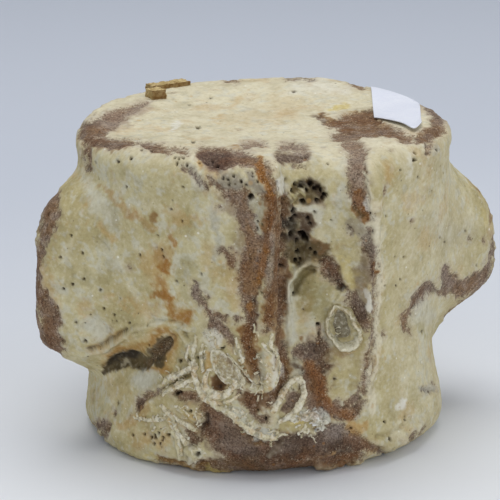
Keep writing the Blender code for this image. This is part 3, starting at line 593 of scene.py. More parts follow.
    "mouth_dark": (DARK_BROWN, 0.95, 1.2, ((223.5, 387, 1.4),)),
    "beside_mouth": (PURPLE_BROWN, 0.95, 1.6, ((238, 386, 2.4), (239, 393, 3))),
    "tube_ground_rust": (RUST, 0.6, 4, ((246, 334, 5), (250, 350, 6), (249, 366, 6), (253, 376, 4))),
    "tube_hollow": (RED_BROWN, 0.9, 4, ((248, 398, 6), (256, 404, 6), (276, 392, 6))),
    "lower_purple": (PURPLE_BROWN, 0.7, 5, ((214, 414, 8), (222, 426, 9), (236, 440, 9))),
    "grey_plate": (GREY, 0.7, 3, ((261, 356, 4), (261, 376, 5))),
    "grey_plate_white": (CHALK, 0.6, 3, ((277, 352, 3), (278, 368, 3), (275, 384, 4))),
    "valve_tan": (OCHRE, 0.3, 3, ((218, 358, 4), (226, 370, 4))),
    "valve_gap": (PURPLE_BROWN, 0.9, 1.4, ((232, 362, 1.6), (238, 370, 1.8), (243, 378, 1.4))),
    "canal_brown": (linear(78, 56, 32), 0.9, 2, ((309, 180, 4), (315, 184, 4), (324, 192, 4.4),
        (321, 199, 3))),
    "canal_side": (DARK_BROWN, 0.8, 2.5, ((292, 209, 3), (294, 217, 2.4), (309, 220, 3), (303, 235, 6),
        (291, 235, 4))),
    "canal_low": (DARK_OLIVE, 0.75, 4, ((292, 246, 4), (303, 250, 5), (314, 250, 5), (298, 259, 4))),
    "barnacle_left": (COOL_GREY, 0.6, 3, ((322, 330, 2), (327, 339, 2.4), (334, 347, 2.4))),
    "canal_shade": (OLIVE, 0.55, 8, ((304, 284, 9), (312, 298, 12), (322, 288, 9), (324, 302, 6))),
    "shell_inside": (PURPLE_BROWN, 0.6, 2, ((232, 360, 2), (236, 366, 2.4), (239, 373, 2))),
    "ochre_rib": (OCHRE, 0.75, 3, ((206, 350, 2.6), (208, 360, 3.4), (206, 368, 3))),
    "nodule_olive": (OLIVE, 0.4, 6, ((184, 352, 6), (190, 360, 6))),
    "knob_white": (CHALK, 0.7, 4, ((210, 335, 5), (213, 341, 5))),
    "pocket_grey": (PURPLE_BROWN, 0.6, 3, ((180, 394, 3), (196, 398, 4))),
    "shelf_ochre": (OCHRE, 0.45, 3, ((187, 414, 3), (197, 417, 3))),
    "ochre_streak": (ORANGE, 0.4, 4, ((105, 187, 1.4), (111, 194, 2), (118, 203, 2.2), (126, 212, 2.6),
        (131, 218, 3.4))),
    "ochre_streak_end": (ORANGE, 0.4, 5, ((135, 219, 3), (142, 219, 2.4), (150, 225, 3))),
    "ochre_drop": (OCHRE, 0.6, 3.5, ((100, 224, 2), (105, 232, 3), (112, 236, 3.4))),
    "rust_halo": (linear(184, 150, 92), 0.5, 8, ((169, 238, 3), (166, 252, 6), (163, 264, 8), (160, 280, 7),
        (164, 296, 7))),
    "rust_halo_low": (linear(184, 150, 92), 0.5, 7, ((170, 300, 5), (176, 309, 6), (186, 315, 5))),
    "rust_drop": (RUST_ORANGE, 0.7, 2.4, ((169, 237, 2.4), (171, 245, 3))),
    "rust_pool": (linear(160, 118, 62), 0.65, 6, ((158, 257, 4), (165, 260, 5.5), (170, 266, 4))),
    "rust_pool_core": (RUST_ORANGE, 0.75, 4, ((168, 260, 2.4), (171, 268, 2.4), (163, 266, 2.6))),
    "rust_run": (linear(158, 114, 58), 0.7, 5, ((158, 278, 3), (160, 285, 3.4))),
    "rust_run_core": (RUST_ORANGE, 0.8, 4, ((156, 297, 2.6), (164, 294, 3.6), (170, 298, 3),
        (169, 305, 2.4))),
    "rust_run_low": (linear(164, 124, 66), 0.6, 6, ((170, 303, 3), (175, 310, 3.4), (186, 315, 3.6))),
    "rust_run_end": (RUST_ORANGE, 0.6, 3.4, ((174, 311, 2), (184, 316, 3))),
    "rust_dot": (RUST, 0.6, 2.4, ((155, 217, 2.6),)),
    "waist_white": (COOL_WHITE, 0.45, 5, ((87, 178, 4), (89, 190, 4))),
    "flank_white": (COOL_WHITE, 0.55, 7, ((94, 200, 6), (106, 212, 8), (114, 222, 5))),
    "flank_white_low": (COOL_WHITE, 0.5, 6, ((106, 244, 4), (112, 258, 6), (118, 268, 5))),
    "flank_blue": (COOL_WHITE, 0.6, 4, ((56, 284, 4), (62, 288, 4))),
    "flank_specks": (OLIVE, 0.3, 6, ((74, 285, 4), (84, 280, 4), (104, 278, 5))),
    "scoop_white": (COOL_WHITE, 0.5, 6, ((94, 324, 8), (100, 332, 9))),
    "scoop_ochre": (OCHRE, 0.5, 3, ((90, 350, 2), (104, 345, 2.6), (116, 337, 3), (121, 333, 2.6))),
    "hollow_halo": (linear(190, 154, 92), 0.45, 6, ((104, 356, 2), (116, 348, 3), (130, 343, 3),
        (146, 344, 3), (156, 338, 5), (164, 330, 6), (174, 334, 6), (172, 350, 4), (165, 364, 4),
        (152, 370, 4))),
    "hollow_edge": (linear(154, 108, 46), 0.7, 3.4, ((107, 364, 1.4), (113, 354, 2), (126, 347, 2.4),
        (138, 348, 2.4), (149, 348, 2), (156, 341, 2.4), (161, 334, 2.4), (170, 330, 2.4), (176, 336, 3),
        (172, 347, 2.6), (166, 357, 2.6), (160, 366, 3), (168, 370, 2), (150, 369, 2))),
    # Painted shade in the recess under the left process: dark olive, a warmer brown and near black, inside
    # its orange-brown stain
    "recess_shade": (linear(78, 66, 42), 0.97, 2.5, ((110, 367, 5), (119, 362, 7), (133, 359, 8),
        (145, 362, 8), (155, 358, 7), (162, 349, 6), (168, 341, 4))),
    "recess_warm_shade": (linear(116, 92, 62), 0.8, 3, ((148, 362, 4), (158, 353, 4), (166, 343, 3))),
    "recess_deep_shade": (NEAR_BLACK, 0.6, 2.5, ((113, 361, 3), (121, 356, 3.4), (134, 352, 3.4))),
    "hollow_flecks": (linear(190, 180, 150), 0.7, 1.5, ((122, 366, 1.4), (127, 361, 1.6), (131, 366, 1.4))),
    "under_hollow": (COOL_WHITE, 0.75, 5, ((140, 381, 8), (152, 380, 8))),
    "tan_low": (OCHRE, 0.2, 8, ((112, 385, 7), (122, 398, 6))),
    "diagonal_dark": (DARK_BROWN, 0.6, 2.5, ((138, 406, 3), (143, 400, 2.6))),
    "low_ochre": (OCHRE, 0.55, 3.5, ((122, 424, 3), (131, 422, 3.4), (150, 405, 4))),
    "low_ochre_b": (OCHRE, 0.5, 5, ((165, 434, 4), (172, 440, 4), (140, 440, 5))),
    "left_foot_cool": (PURPLE_BROWN, 0.5, 3, ((98, 424, 4), (108, 423, 3))),
    "foot_edge_rust": (RUST, 0.6, 3, ((160, 458, 2), (180, 464, 2.6), (200, 468, 2))),
    "yellow_top": (YELLOW, 0.85, 2.5, ((328, 112, 1.6), (336, 108, 2.6), (346, 105, 1.6))),
    "top_white_dash": (CHALK, 0.95, 1.5, ((170, 130, 1.4), (176, 128, 1.8), (182, 126, 1.2))),
    "top_grey": (COOL_GREY, 0.35, 3, ((240, 110, 2.4), (249, 111, 2.4))),
    "top_white": (CHALK, 0.5, 7, ((292, 88, 4), (320, 86, 6), (345, 92, 5))),
    "top_warm": (OCHRE, 0.2, 8, ((275, 103, 6), (300, 108, 8), (260, 118, 6), (230, 122, 5))),
    "top_left_cool": (PURPLE_BROWN, 0.5, 5, ((108, 118, 4), (122, 122, 5), (132, 114, 4))),
    "rim_left_dust": (PINK_BROWN, 0.75, 5, ((148, 107, 3), (136, 112, 5), (122, 118, 7), (106, 122, 7))),
    "top_ochres": (OCHRE, 0.5, 3, ((214, 121, 2), (222, 119, 1.6))),
    "top_ochres_b": (OCHRE, 0.45, 3, ((232, 104, 1.6), (238, 101, 1.6))),
    "rim_left_red": (RED_BROWN, 0.5, 4, ((90, 142, 4), (112, 145, 4), (128, 143, 3))),
    "rim_right_tan": (PINK_BROWN, 0.6, 4, ((426, 104, 4), (442, 112, 5), (446, 122, 4))),
    "rim_right_dark": (RED_BROWN, 0.6, 4, ((424, 136, 4), (434, 134, 4))),
    "rim_right_dot": (PALE, 0.7, 2, ((425, 117, 2),)),
    "right_run_cool": (COOL_GREY, 0.5, 3, ((434, 147, 3), (430, 155, 2))),
    "right_flank_ochre": (OCHRE, 0.35, 5, ((388, 163, 4), (386, 171, 4))),
    "right_flank_white": (CHALK, 0.6, 3, ((411, 155, 1.4), (411, 166, 1.4), (410, 175, 1))),
    "right_flank_grey": (COOL_GREY, 0.22, 9, ((432, 225, 8), (446, 236, 10), (466, 232, 8))),
    "right_edge_yellow": (YELLOW, 0.4, 3, ((481, 214, 2), (483, 222, 2))),
    "right_edge_line": (BROWN, 0.75, 1.6, ((462, 170, 1), (474, 188, 1.2), (486, 206, 1.4),
        (489, 220, 1.4))),
    "process_fold_white": (COOL_WHITE, 0.5, 5, ((424, 305, 4), (418, 318, 6), (430, 315, 5))),
    "process_fold_olive": (OLIVE, 0.45, 3, ((418, 325, 2.4), (420, 330, 2.6), (424, 332, 2))),
    "right_foot_cool": (COOL_GREY, 0.7, 3, ((424, 389, 3), (431, 388, 3))),
    "right_foot_white": (CHALK, 0.85, 2, ((402, 400, 2.4), (399, 407, 2.4))),
    "right_low_olive": (OLIVE, 0.25, 6, ((413, 392, 5), (416, 402, 5))),
}

# Relief: rise in millimetres, line
RIDGES = {
    "arc_lower": (1.1, ((62, 344, 2.6), (72, 350, 3), (86, 353, 3.4), (101, 350, 3.4), (118, 340, 3.2),
        (135, 328, 3), (158, 323, 3), (176, 324, 3), (190, 330, 3))),
    "arc_upper": (0.5, ((128, 337, 2), (142, 331, 2), (160, 327, 2), (178, 329, 2.2), (185, 337, 2.2))),
    "arc_top": (0.35, ((112, 322, 2), (126, 317, 2), (146, 313, 2.4), (168, 315, 2))),
    "scoop_left_lip": (0.6, ((82, 322, 2), (80, 332, 2.2), (83, 342, 2))),
    "hollow_lip": (0.5, ((176, 372, 3), (184, 352, 3.4), (186, 340, 3))),
    "rib_upper": (1.0, ((162, 386, 2.8), (172, 379, 3.2), (182, 374, 3), (192, 369, 2.6))),
    "rib_lower": (0.8, ((164, 391, 2.4), (176, 385, 2.6), (186, 381, 2.4), (194, 378, 2.2))),
    "long_ridge": (0.9, ((181, 330, 2.4), (189, 343, 2.8), (193, 355, 3), (195, 366, 3))),
    "ridge_beside": (0.6, ((200, 340, 2), (201, 352, 2.2), (201, 366, 2.2))),
    "rib_ochre": (0.5, ((206, 350, 3), (207, 366, 3))),
    "fork": (1.0, ((168, 414, 2.4), (173, 421, 2.8), (175, 431, 2.6), (179, 441, 2.4), (181, 457, 2.2))),
    "fork_branch": (0.9, ((175, 430, 2.2), (181, 437, 2.4), (188, 443, 2.2))),
    "fork_left": (0.5, ((146, 414, 2.4), (158, 412, 2.6), (168, 414, 2.4))),
    "fan": (0.9, ((146, 404, 3), (152, 402, 3.6), (155, 409, 3.4))),
    "low_edge_ridge": (0.6, ((120, 447, 3), (140, 454, 3), (158, 460, 3))),
    "edge_thread": (0.5, ((192, 468, 2.6), (210, 471, 2.6), (229, 473, 2.4))),
    "edge_lumps": (0.9, ((319, 467, 4.4), (334, 469, 5), (349, 467, 5.4), (360, 462, 4.4))),
    "oyster_arc": (1.3, ((287, 300, 3), (288, 284, 3.2), (293, 272, 3.2), (301, 265, 3.2), (310, 262, 3),
        (320, 264, 2.6))),
    "plate_lip": (0.5, ((289, 305, 3), (289, 325, 3), (291, 344, 3))),
    "pocket_edge": (0.6, ((343, 287, 1.6), (340, 297, 1.8), (334, 304, 1.8))),
    "crest_edge": (0.35, ((367, 175, 2.4), (373, 205, 2.6), (377, 240, 2.8), (378, 275, 2.8),
        (377, 305, 2.8), (374, 335, 2.8), (371, 362, 2.8), (368, 392, 2.8))),
    "fork_small": (0.6, ((288, 193, 1.6), (292, 200, 1.8), (291, 208, 1.6))),
    "fork_small_arm": (0.5, ((297, 193, 1.4), (293, 200, 1.6))),
    "porous_ring": (0.7, ((300, 184, 1.6), (304, 182, 1.6), (309, 186, 1.6), (307, 192, 1.6),
        (302, 190, 1.6), (300, 184, 1.6))),
    "rim_right_lump": (0.5, ((430, 110, 6), (440, 122, 7), (432, 134, 6))),
    "process_end": (0.4, ((480, 270, 6), (462, 280, 6))),
    "process_ring": (0.4, ((434, 281, 1.8), (439, 279, 1.8), (443, 284, 1.8), (440, 290, 1.8),
        (434, 287, 1.8))),
    "right_foot_fold": (0.6, ((372, 442, 4), (386, 444, 4), (402, 438, 4), (418, 426, 4))),
    "right_low_lump": (0.5, ((400, 404, 4), (412, 412, 6), (424, 408, 5))),
    "waist_edge": (0.3, ((86, 150, 3), (86, 175, 3))),
}

# Hollows and grooves: depth in millimetres, line
HOLLOWS = {
    "mouth": (1.7, ((219, 378.5, 6), (219.5, 384.5, 6))),
    "beside_mouth": (0.6, ((238, 386, 2.4), (239, 393, 3))),
    "sponge": (0.8, ((296, 186, 4), (308, 185, 6), (320, 191, 6))),
    "barnacle_seat": (2.6, ((339, 316, 6), (340, 325, 8), (342, 332, 8))),
    "sponge_low": (0.8, ((294, 234, 5), (303, 237, 6), (300, 250, 5))),
    "scoop": (1.5, ((94, 326, 10), (101, 332, 11))),
    "scoop_groove": (0.7, ((90, 348, 2.4), (104, 344, 2.8), (117, 335, 3), (126, 329, 2.4))),
    "hollow": (1.0, ((113, 364, 6), (122, 360, 7), (134, 357, 7), (147, 361, 7), (158, 354, 7),
        (167, 344, 5), (172, 338, 3.4))),
    "under_rib": (0.6, ((166, 388, 1.6), (180, 380, 1.6), (192, 374, 1.4))),
    "under_shelf": (1.0, ((198, 430, 3), (205, 424, 3), (206, 416, 2.6))),
    "oyster_crescent": (1.0, ((296, 293, 2), (297, 284, 3), (301, 276, 3.4), (308, 271, 3), (314, 270, 2))),
    "canal_slot": (0.6, ((318, 324, 2.0), (319, 334, 1.4))),
    "groove_line": (1.0, ((285, 200, 1.4), (285, 225, 1.6), (283, 247, 1.8), (282, 265, 2.4),
        (281, 284, 2.4), (280, 304, 2.4), (280, 320, 2))),
    "groove_twin": (0.6, ((281, 206, 1), (280, 225, 1.2), (279, 247, 1.2), (277, 270, 1.4),
        (276, 296, 1.2))),
    "strip_line": (0.8, ((286, 177, 1), (286, 194, 1))),
    "dark_shoulder": (0.7, ((208, 160, 5), (222, 163, 6))),
    "rim_run_right": (0.8, ((428, 143, 2.4), (427, 155, 1.8))),
    "fold_low_right": (0.7, ((376, 436, 2), (390, 433, 2.4), (404, 425, 2))),
    "plate_step": (0.5, ((326, 312, 3), (322, 324, 3), (326, 338, 3))),
    "foot_left_notch": (0.8, ((110, 424, 2), (107, 436, 2.4))),
    "process_fold": (0.5, ((412, 312, 3), (411, 326, 3), (414, 338, 2.4))),
    "crack": (0.35, ((97, 237, 0.9), (104, 243, 1), (110, 249, 0.9))),
}

# Holes: (x, y, radius in pixels, depth in millimetres)
HOLES = (
    (198, 128, 2.3, 1.7), (189, 105, 1.3, 0.9), (210, 99, 1.2, 0.9), (294, 92, 1.3, 0.9),
    (251, 197, 3.2, 2.0), (302.4, 202, 2.8, 2.0), (316.4, 201.5, 2.4, 1.8), (291.5, 235, 3.0, 2.4),
    (302, 234, 4.0, 2.8), (305, 238.5, 3.4, 2.6), (314.3, 252.6, 2.2, 1.4), (293.3, 210, 2.6, 1.6),
    (294.7, 215.5, 1.9, 1.2), (302, 186, 2.2, 1.8), (307, 190, 2.4, 2.0), (311, 182, 3.0, 1.8),
    (315.5, 187, 2.6, 1.8), (321, 189, 2.6, 1.9), (325, 194, 3.0, 2.1), (322, 198.5, 2.2, 1.6),
    (293.3, 191, 2.2, 1.4), (297, 183.5, 2.0, 1.2), (308, 218, 2.4, 1.1), (310, 222.5, 1.9, 1.0),
    (297.5, 241.4, 1.8, 1.6), (310, 248, 1.9, 1.1), (295.4, 260, 2.2, 1.3), (300, 259, 1.7, 1.0),
    (283, 266, 1.9, 1.4), (229, 380, 2.2, 1.5), (230.5, 387.5, 1.9, 1.3), (177.7, 393.3, 2.2, 1.6),
    (192.5, 409.3, 1.7, 1.2), (224, 178, 1.3, 0.9), (229, 180, 1.4, 0.9), (234, 176, 1.2, 0.9),
    (230, 185, 1.2, 0.8), (241, 182, 2.0, 1.2), (252, 174, 1.3, 0.9), (252, 178, 1.4, 0.9),
    (258, 183, 1.2, 0.8), (262, 225, 1.3, 0.9), (258, 222, 1.2, 0.8), (257, 228, 1.3, 0.9),
    (221.5, 348, 2.4, 1.6), (188, 351, 1.5, 1.0), (189, 361, 1.8, 1.2), (197, 358, 1.5, 1.0),
    (194, 358, 1.2, 0.8), (181, 361, 1.6, 1.0), (180, 374, 1.2, 0.8), (192, 410, 1.6, 1.0),
    (177, 394, 2.2, 1.4), (181, 392, 1.6, 1.0), (132.5, 435, 1.6, 1.1), (145, 434, 1.3, 0.9),
    (152, 437, 1.8, 1.1), (155, 436, 1.4, 1.0), (159.5, 432, 1.5, 1.1), (154, 443, 1.8, 1.2),
    (160.5, 444, 1.6, 1.1), (169, 434, 2.0, 0.9), (200, 453, 3.0, 1.8), (414.5, 153, 1.4, 0.9),
    (414, 160.5, 1.9, 1.3), (436.5, 150, 1.4, 0.9), (384.5, 421.5, 1.5, 1.0), (404, 420, 1.4, 0.9),
    (388.5, 438.5, 2.0, 1.2), (193, 143, 2.8, 0.9), (119, 161, 2.0, 0.8), (131, 158.5, 2.2, 0.8),
    (142, 151, 1.3, 0.8), (151.5, 150, 1.3, 0.8), (175, 159, 1.7, 1.1), (179.5, 161, 1.9, 1.2),
    (184, 160, 1.6, 1.1), (186, 165, 1.7, 1.0), (177, 165, 1.5, 1.0), (85, 341, 2.6, 1.3),
    (64, 288, 1.5, 0.8), (73, 284, 1.8, 0.8), (84, 279, 1.7, 0.7), (71, 234.5, 1.2, 0.7),
    (60, 257, 1.5, 0.7), (162, 249, 1.2, 0.7), (140.5, 254, 1.3, 0.8), (182, 221, 1.1, 0.7),
    (177, 280.5, 1.3, 0.8), (202, 273.5, 1.2, 0.7), (101, 290, 1.3, 0.7), (104, 308, 1.4, 0.8),
    (114, 314, 1.2, 0.7), (116, 320.5, 1.3, 0.7), (128.5, 323, 1.2, 0.6), (77, 323, 1.1, 0.6),
    (171, 209, 1.8, 0.6), (295, 294.5, 1.9, 1.6), (318, 325, 2.0, 1.3), (334, 378, 1.8, 0.6),
    (399, 169.5, 1.0, 0.6), (417.5, 177, 1.0, 0.6), (431.5, 191, 1.0, 0.5), (439, 237, 1.2, 0.6),
    (444, 242, 1.2, 0.6), (465, 231, 1.3, 0.6), (394, 257, 1.1, 0.5), (403.5, 257.5, 1.1, 0.5),
    (400, 279, 1.1, 0.5), (396, 285, 1.3, 0.6), (385, 285.5, 1.0, 0.5), (184, 187, 1.4, 0.8),
    (128, 187, 1.1, 0.6), (422, 331, 1.5, 0.7), (336, 345, 1.0, 0.5), (292, 389, 1.2, 0.6),
    (259, 410, 1.4, 0.9), (266, 418, 1.3, 0.8),
)

# Where the inner bone shows like a sponge
SPONGE = {
    "canal_top": ((295, 188, 5), (307, 186, 8), (320, 191, 7), (312, 202, 5), (298, 203, 5)),
    "canal_side": ((291, 212, 4), (293, 226, 4), (296, 238, 6), (305, 238, 5)),
    "canal_low": ((292, 250, 4), (304, 250, 6), (316, 253, 6), (298, 262, 4)),
    "shoulder": ((208, 160, 4), (218, 163, 6), (226, 166, 4)),
    "foot": ((148, 436, 5), (156, 438, 6), (158, 446, 4)),
}

# Marks on the sides that the photograph doesn't show, as lines of (angle, stage, half width in mm)
FAR_BARE = {
    "left_process_edge": ((-91, 2.22, 1.4), (-93, 2.32, 3.0), (-90, 2.44, 3.6), (-92, 2.56, 2.6),
        (-89, 2.68, 3.6), (-92, 2.76, 2.4)),
    "left_process_side": ((-97, 2.36, 1.8), (-103, 2.46, 2.6), (-101, 2.54, 1.6)),
    "right_process_edge": ((93, 2.36, 1.6), (94, 2.48, 2.6), (95, 2.58, 3.4), (94, 2.66, 3.6),
        (90, 2.74, 3.0), (84, 2.80, 2.0)),
    "keel_crest": ((180, 2.18, 1.6), (178, 2.34, 1.2), (181, 2.50, 2.0), (180, 2.66, 1.4),
        (182, 2.82, 2.2)),
    "keel_side": ((168, 2.62, 2.6), (160, 2.72, 3.2), (150, 2.78, 2.4)),
    "back_rim_a": ((120, 1.5, 2.2), (135, 1.7, 3.0), (148, 1.6, 2.0)),
    "back_rim_b": ((-168, 1.6, 2.4), (-152, 1.4, 3.2), (-138, 1.7, 2.4), (-122, 1.6, 1.6)),
    "back_run": ((-146, 2.05, 2.0), (-147, 2.16, 1.6), (-145, 2.28, 1.0)),
    "foot_back_a": ((-120, 3.4, 3.0), (-138, 3.2, 3.4), (-156, 3.5, 2.6)),
    "foot_back_b": ((150, 3.3, 2.8), (128, 3.1, 3.6), (108, 3.4, 2.4)),
    "back_left": ((-118, 2.60, 2.2), (-124, 2.68, 3.4), (-134, 2.72, 2.4)),
    "back_right": ((122, 2.30, 1.6), (130, 2.38, 2.6), (134, 2.50, 1.8)),
}
FAR_STAINS = {
    "left_rust": (RUST, 0.5, 2.0, ((-112, 2.3, 1.2), (-116, 2.45, 1.8), (-114, 2.6, 1.2))),
    "right_ochre": (OCHRE, 0.45, 2.4, ((112, 2.2, 1.4), (116, 2.4, 2.2))),
    "keel_rust": (RUST, 0.5, 2.0, ((172, 2.4, 1.4), (170, 2.6, 1.8))),
    "back_white": (COOL_WHITE, 0.5, 3.0, ((140, 2.65, 3.0), (146, 2.8, 3.4))),
    "back_white_b": (COOL_WHITE, 0.45, 3.0, ((-150, 2.35, 3.0), (-160, 2.5, 3.6))),
    "back_olive": (OLIVE, 0.4, 3.0, ((-125, 2.85, 3.0), (-138, 2.9, 3.0))),
}
FAR_RIDGES = {
    "back_worm_a": (0.9, ((-104, 2.78, 0.9), (-112, 2.84, 1.0), (-122, 2.83, 1.0), (-128, 2.76, 0.9))),
    "back_worm_b": (0.8, ((128, 2.84, 0.9), (138, 2.86, 1.0), (146, 2.80, 0.9), (150, 2.70, 0.8))),
    "back_rib": (0.6, ((-160, 2.20, 1.2), (-166, 2.32, 1.2), (-164, 2.46, 1.0))),
    "right_fold": (0.7, ((100, 2.80, 1.6), (106, 2.70, 1.6), (104, 2.62, 1.4))),
    "left_fold": (0.6, ((-100, 2.84, 1.6), (-106, 2.74, 1.6))),
}

# -------------------------------- the grid of the skin

COLUMNS = 880  # a multiple of 8
ROUNDING_ROWS, SIDE_ROWS = 27, 205
RINGS = COLUMNS // 8  # of the square grid of an end face
FACE_X, FACE_Y = np.meshgrid(*[np.arange(-RINGS, RINGS + 1)] * 2, indexing="ij")
SEEN_FROM, SEEN_TO, SEEN_EDGE = -108.0, 72.0, 14.0  # the angles that the camera sees, more or less
SEEN_SHARE = 0.9  # how much closer the columns are there
UPPER_SEAM, LOWER_SEAM = 0.0690, 0.0115  # heights at which the end plates part from the sides
SIDE_PIECES = {
    "neural_arch": (-45.0, 40.0, ("centrum", "neural_arch_left", "neural_arch_right")),
    "transverse_process_left_skin": (-130.0, -45.0, ("transverse_process_left",)),
    "transverse_process_right_skin": (40.0, 130.0, ("transverse_process_right",)),
    "ventral_keel_skin": (130.0, 230.0, ("ventral_keel",)),
}


def shows(angle):
    """1 on the angles that the camera sees, 0 well away from them."""
    fade_in = smoothstep(SEEN_FROM - SEEN_EDGE, SEEN_FROM, turned(angle, 0.0))
    return fade_in * (1 - smoothstep(SEEN_TO, SEEN_TO + SEEN_EDGE, turned(angle, 0.0)))


def column_angles():
    """Angles of the grid's columns, evenly spaced along the girth, and closer on the side that shows."""
    fine = np.linspace(-180.0, 180.0, 7201)
    girth = np.linalg.norm(np.diff(surface(fine, 2.5), axis=0), axis=1)
    weight = girth * (1 + SEEN_SHARE * shows((fine[:-1] + fine[1:]) / 2))
    share = np.concatenate([[0.0], np.cumsum(weight)]) / weight.sum()
    return np.interp(np.arange(COLUMNS) / COLUMNS, share, fine)


def square_ring(x, y):
    """Ring number and place round the ring, in steps, of the points of a square grid."""
    ring = np.maximum(np.abs(x), np.abs(y))
    sides = [(x == ring) & (y < ring), (y == ring) & (x > -ring), (x == -ring) & (y > -ring)]
    return ring, np.select(sides, [y + ring, 3 * ring - x, 5 * ring - y], 7 * ring + x)


def end_face(angles, outward, rim_stage, centre_stage, first):
    """The grid inside an end face's rim: its points' angle and stage, and its faces. The rim's own points
    start at number outward, and the new ones at number first."""
    ring, along = square_ring(FACE_X, FACE_Y)
    inner = ring < RINGS
    number = np.empty(ring.shape, int)
    number[~inner] = outward + along[~inner]
    number[inner] = first + np.arange(inner.sum())
    column = along[inner] / np.maximum(8 * ring[inner], 1) * COLUMNS
    angle = np.interp(column, np.arange(COLUMNS + 1), np.append(angles, angles[0] + 360.0))
    stage = centre_stage + (rim_stage - centre_stage) * ring[inner] / RINGS
    faces = np.stack([number[:-1, :-1], number[1:, :-1], number[1:, 1:], number[:-1, 1:]], -1)
    return angle, stage, faces.reshape(-1, 4)


def vertex_normals(points, quads):
    """The way out of a surface at each of its points."""
    corners = points[quads]
    facing = np.cross(corners[:, 2] - corners[:, 0], corners[:, 3] - corners[:, 1])
    total = np.empty_like(points)
    for axis in range(3):
        weights = np.repeat(facing[:, axis], 4)
        total[:, axis] = np.bincount(quads.ravel(), weights=weights, minlength=len(points))
    return total / np.linalg.norm(total, axis=1, keepdims=True)


def softened(values, quads, times):
    """Values averaged with their neighbours on the grid, so many times."""
    share = np.bincount(quads.ravel(), minlength=len(values))
    for _ in range(times):
        middles = np.repeat(values[quads].mean(axis=1), 4)
        values = np.bincount(quads.ravel(), weights=middles, minlength=len(values)) / share
    return values


ANGLES = column_angles()
STRETCHES = ((1, ROUNDING_ROWS), (2, SIDE_ROWS), (3, ROUNDING_ROWS))  # first stage, rows
STAGES = np.concatenate([[1.0]] + [np.linspace(k, k + 1, rows + 1)[1:] for k, rows in STRETCHES])
ROWS = len(STAGES)
ring_count = ROWS * COLUMNS
row, column = np.divmod(np.arange((ROWS - 1) * COLUMNS), COLUMNS)
above, below, beside = row * COLUMNS, (row + 1) * COLUMNS, (column + 1) % COLUMNS
ring_faces = np.stack([above + column, below + column, below + beside, above + beside], -1)
upper_angle, upper_stage, upper_faces = end_face(ANGLES, 0, 1.0, 0.0, ring_count)
last_ring = ring_count - COLUMNS
lower_start = ring_count + len(upper_angle)
lower_angle, lower_stage, lower_faces = end_face(ANGLES, last_ring, 4.0, 5.0, lower_start)
lower_faces = lower_faces[:, ::-1]
angle = np.concatenate([np.tile(ANGLES, ROWS), upper_angle, lower_angle])
stage = np.concatenate([np.repeat(STAGES, COLUMNS), upper_stage, lower_stage])
all_faces = np.concatenate([ring_faces, upper_faces, lower_faces])
form = surface(angle, stage)
form_normal = vertex_normals(form, all_faces)
form_mm = form / MM

COARSE_STEP, COARSE_RINGS = 4, 260  # of the coarser grid that finds what the camera sees


def coarse_tree():
    """The bone's form as a search tree, for finding what the camera sees at a pixel."""
    angles = np.append(ANGLES[::COARSE_STEP], ANGLES[0] + 360.0)
    rings = surface(angles[None, :], np.linspace(0.02, 4.98, COARSE_RINGS)[:, None])
    count = rings.shape[1]
    points = [Vector(point) for point in rings.reshape(-1, 3).tolist()]
    faces = [
        (r * count + c, (r + 1) * count + c, (r + 1) * count + c + 1, r * count + c + 1)
        for r in range(rings.shape[0] - 1)
        for c in range(count - 1)
    ]
    return BVHTree.FromPolygons(points, faces)


form_tree = coarse_tree()

# -------------------------------- measuring the marks on the grid

DEPTH_SHARE = 0.13  # of the distance away from the camera, where the picture's marks are measured


def picture_space(points):
    """Places as the picture shows them, in millimetres: across, down, and a share of the distance away."""
    away = points - CAMERA_PLACE
    depth = away @ LOOK
    across = FRAME_SIDE / 2 + FOCAL_PIXELS * (away @ RIGHT) / depth
    down = FRAME_SIDE / 2 - FOCAL_PIXELS * (away @ UP) / depth
    return np.stack([across * PIXEL, down * PIXEL, depth * DEPTH_SHARE], -1) / MM


def picture_stroke(line):
    """Places in picture space and half widths in mm of a line of (x, y, half width) in pixels."""
    depths = [(np.array(seen(form_tree, x, y)[0]) - CAMERA_PLACE) @ LOOK for x, y, _ in line]
    places = [(x * PIXEL, y * PIXEL, depth * DEPTH_SHARE) for (x, y, _), depth in zip(line, depths)]
    return np.array(places) / MM, np.array([width * PIXEL / MM for _, _, width in line])


def far_stroke(line):
    """Places and half widths in mm of a line of (angle, stage, half width in mm)."""
    on_angle, on_stage, widths = np.array(line, float).T
    return surface(on_angle, on_stage) / MM, widths


def measured(places, stroke, reach):
    """The points within reach of a stroke's edge, how far past it each one is, and the half width there."""
    ends, widths = stroke
    room = widths.max() + reach
    near = np.flatnonzero(np.all((places > ends.min(0) - room) & (places < ends.max(0) + room), axis=1))
    here = places[near]
    past = np.full(len(near), np.inf)
    width = np.zeros(len(near))
    for k in range(max(len(ends) - 1, 1)):
        start, end = ends[k], ends[min(k + 1, len(ends) - 1)]
        wide, wide_end = widths[k], widths[min(k + 1, len(ends) - 1)]
        span = end - start
        share = np.clip((here - start) @ span / max(span @ span, 1e-9), 0.0, 1.0)
        half = wide + (wide_end - wide) * share
        gone = np.linalg.norm(here - start - share[:, None] * span, axis=1) - half
        closer = gone < past
        past = np.where(closer, gone, past)
        width = np.where(closer, half, width)
    return near, past, width


def pushed(size, reach, seed):
    """How far noise with lumps about size across pushes each point, in millimetres."""
    return np.stack([noise(form_mm, size, seed + k) for k in range(3)], -1) * reach


ragged = pushed(2.6, 0.65, 3) + pushed(1.1, 0.30, 7)
drift = pushed(4.5, 1.1, 11) + pushed(1.6, 0.5, 15)
wander = pushed(2.2, 0.28, 19)
# Where marks are measured, as the picture shows the bone and all round it, with uneven edges of three kinds
spaces = {
    name: (picture_space(form + push * MM), form_mm + push)
    for name, push in {"ragged": ragged, "drift": drift, "wander": wander}.items()
}


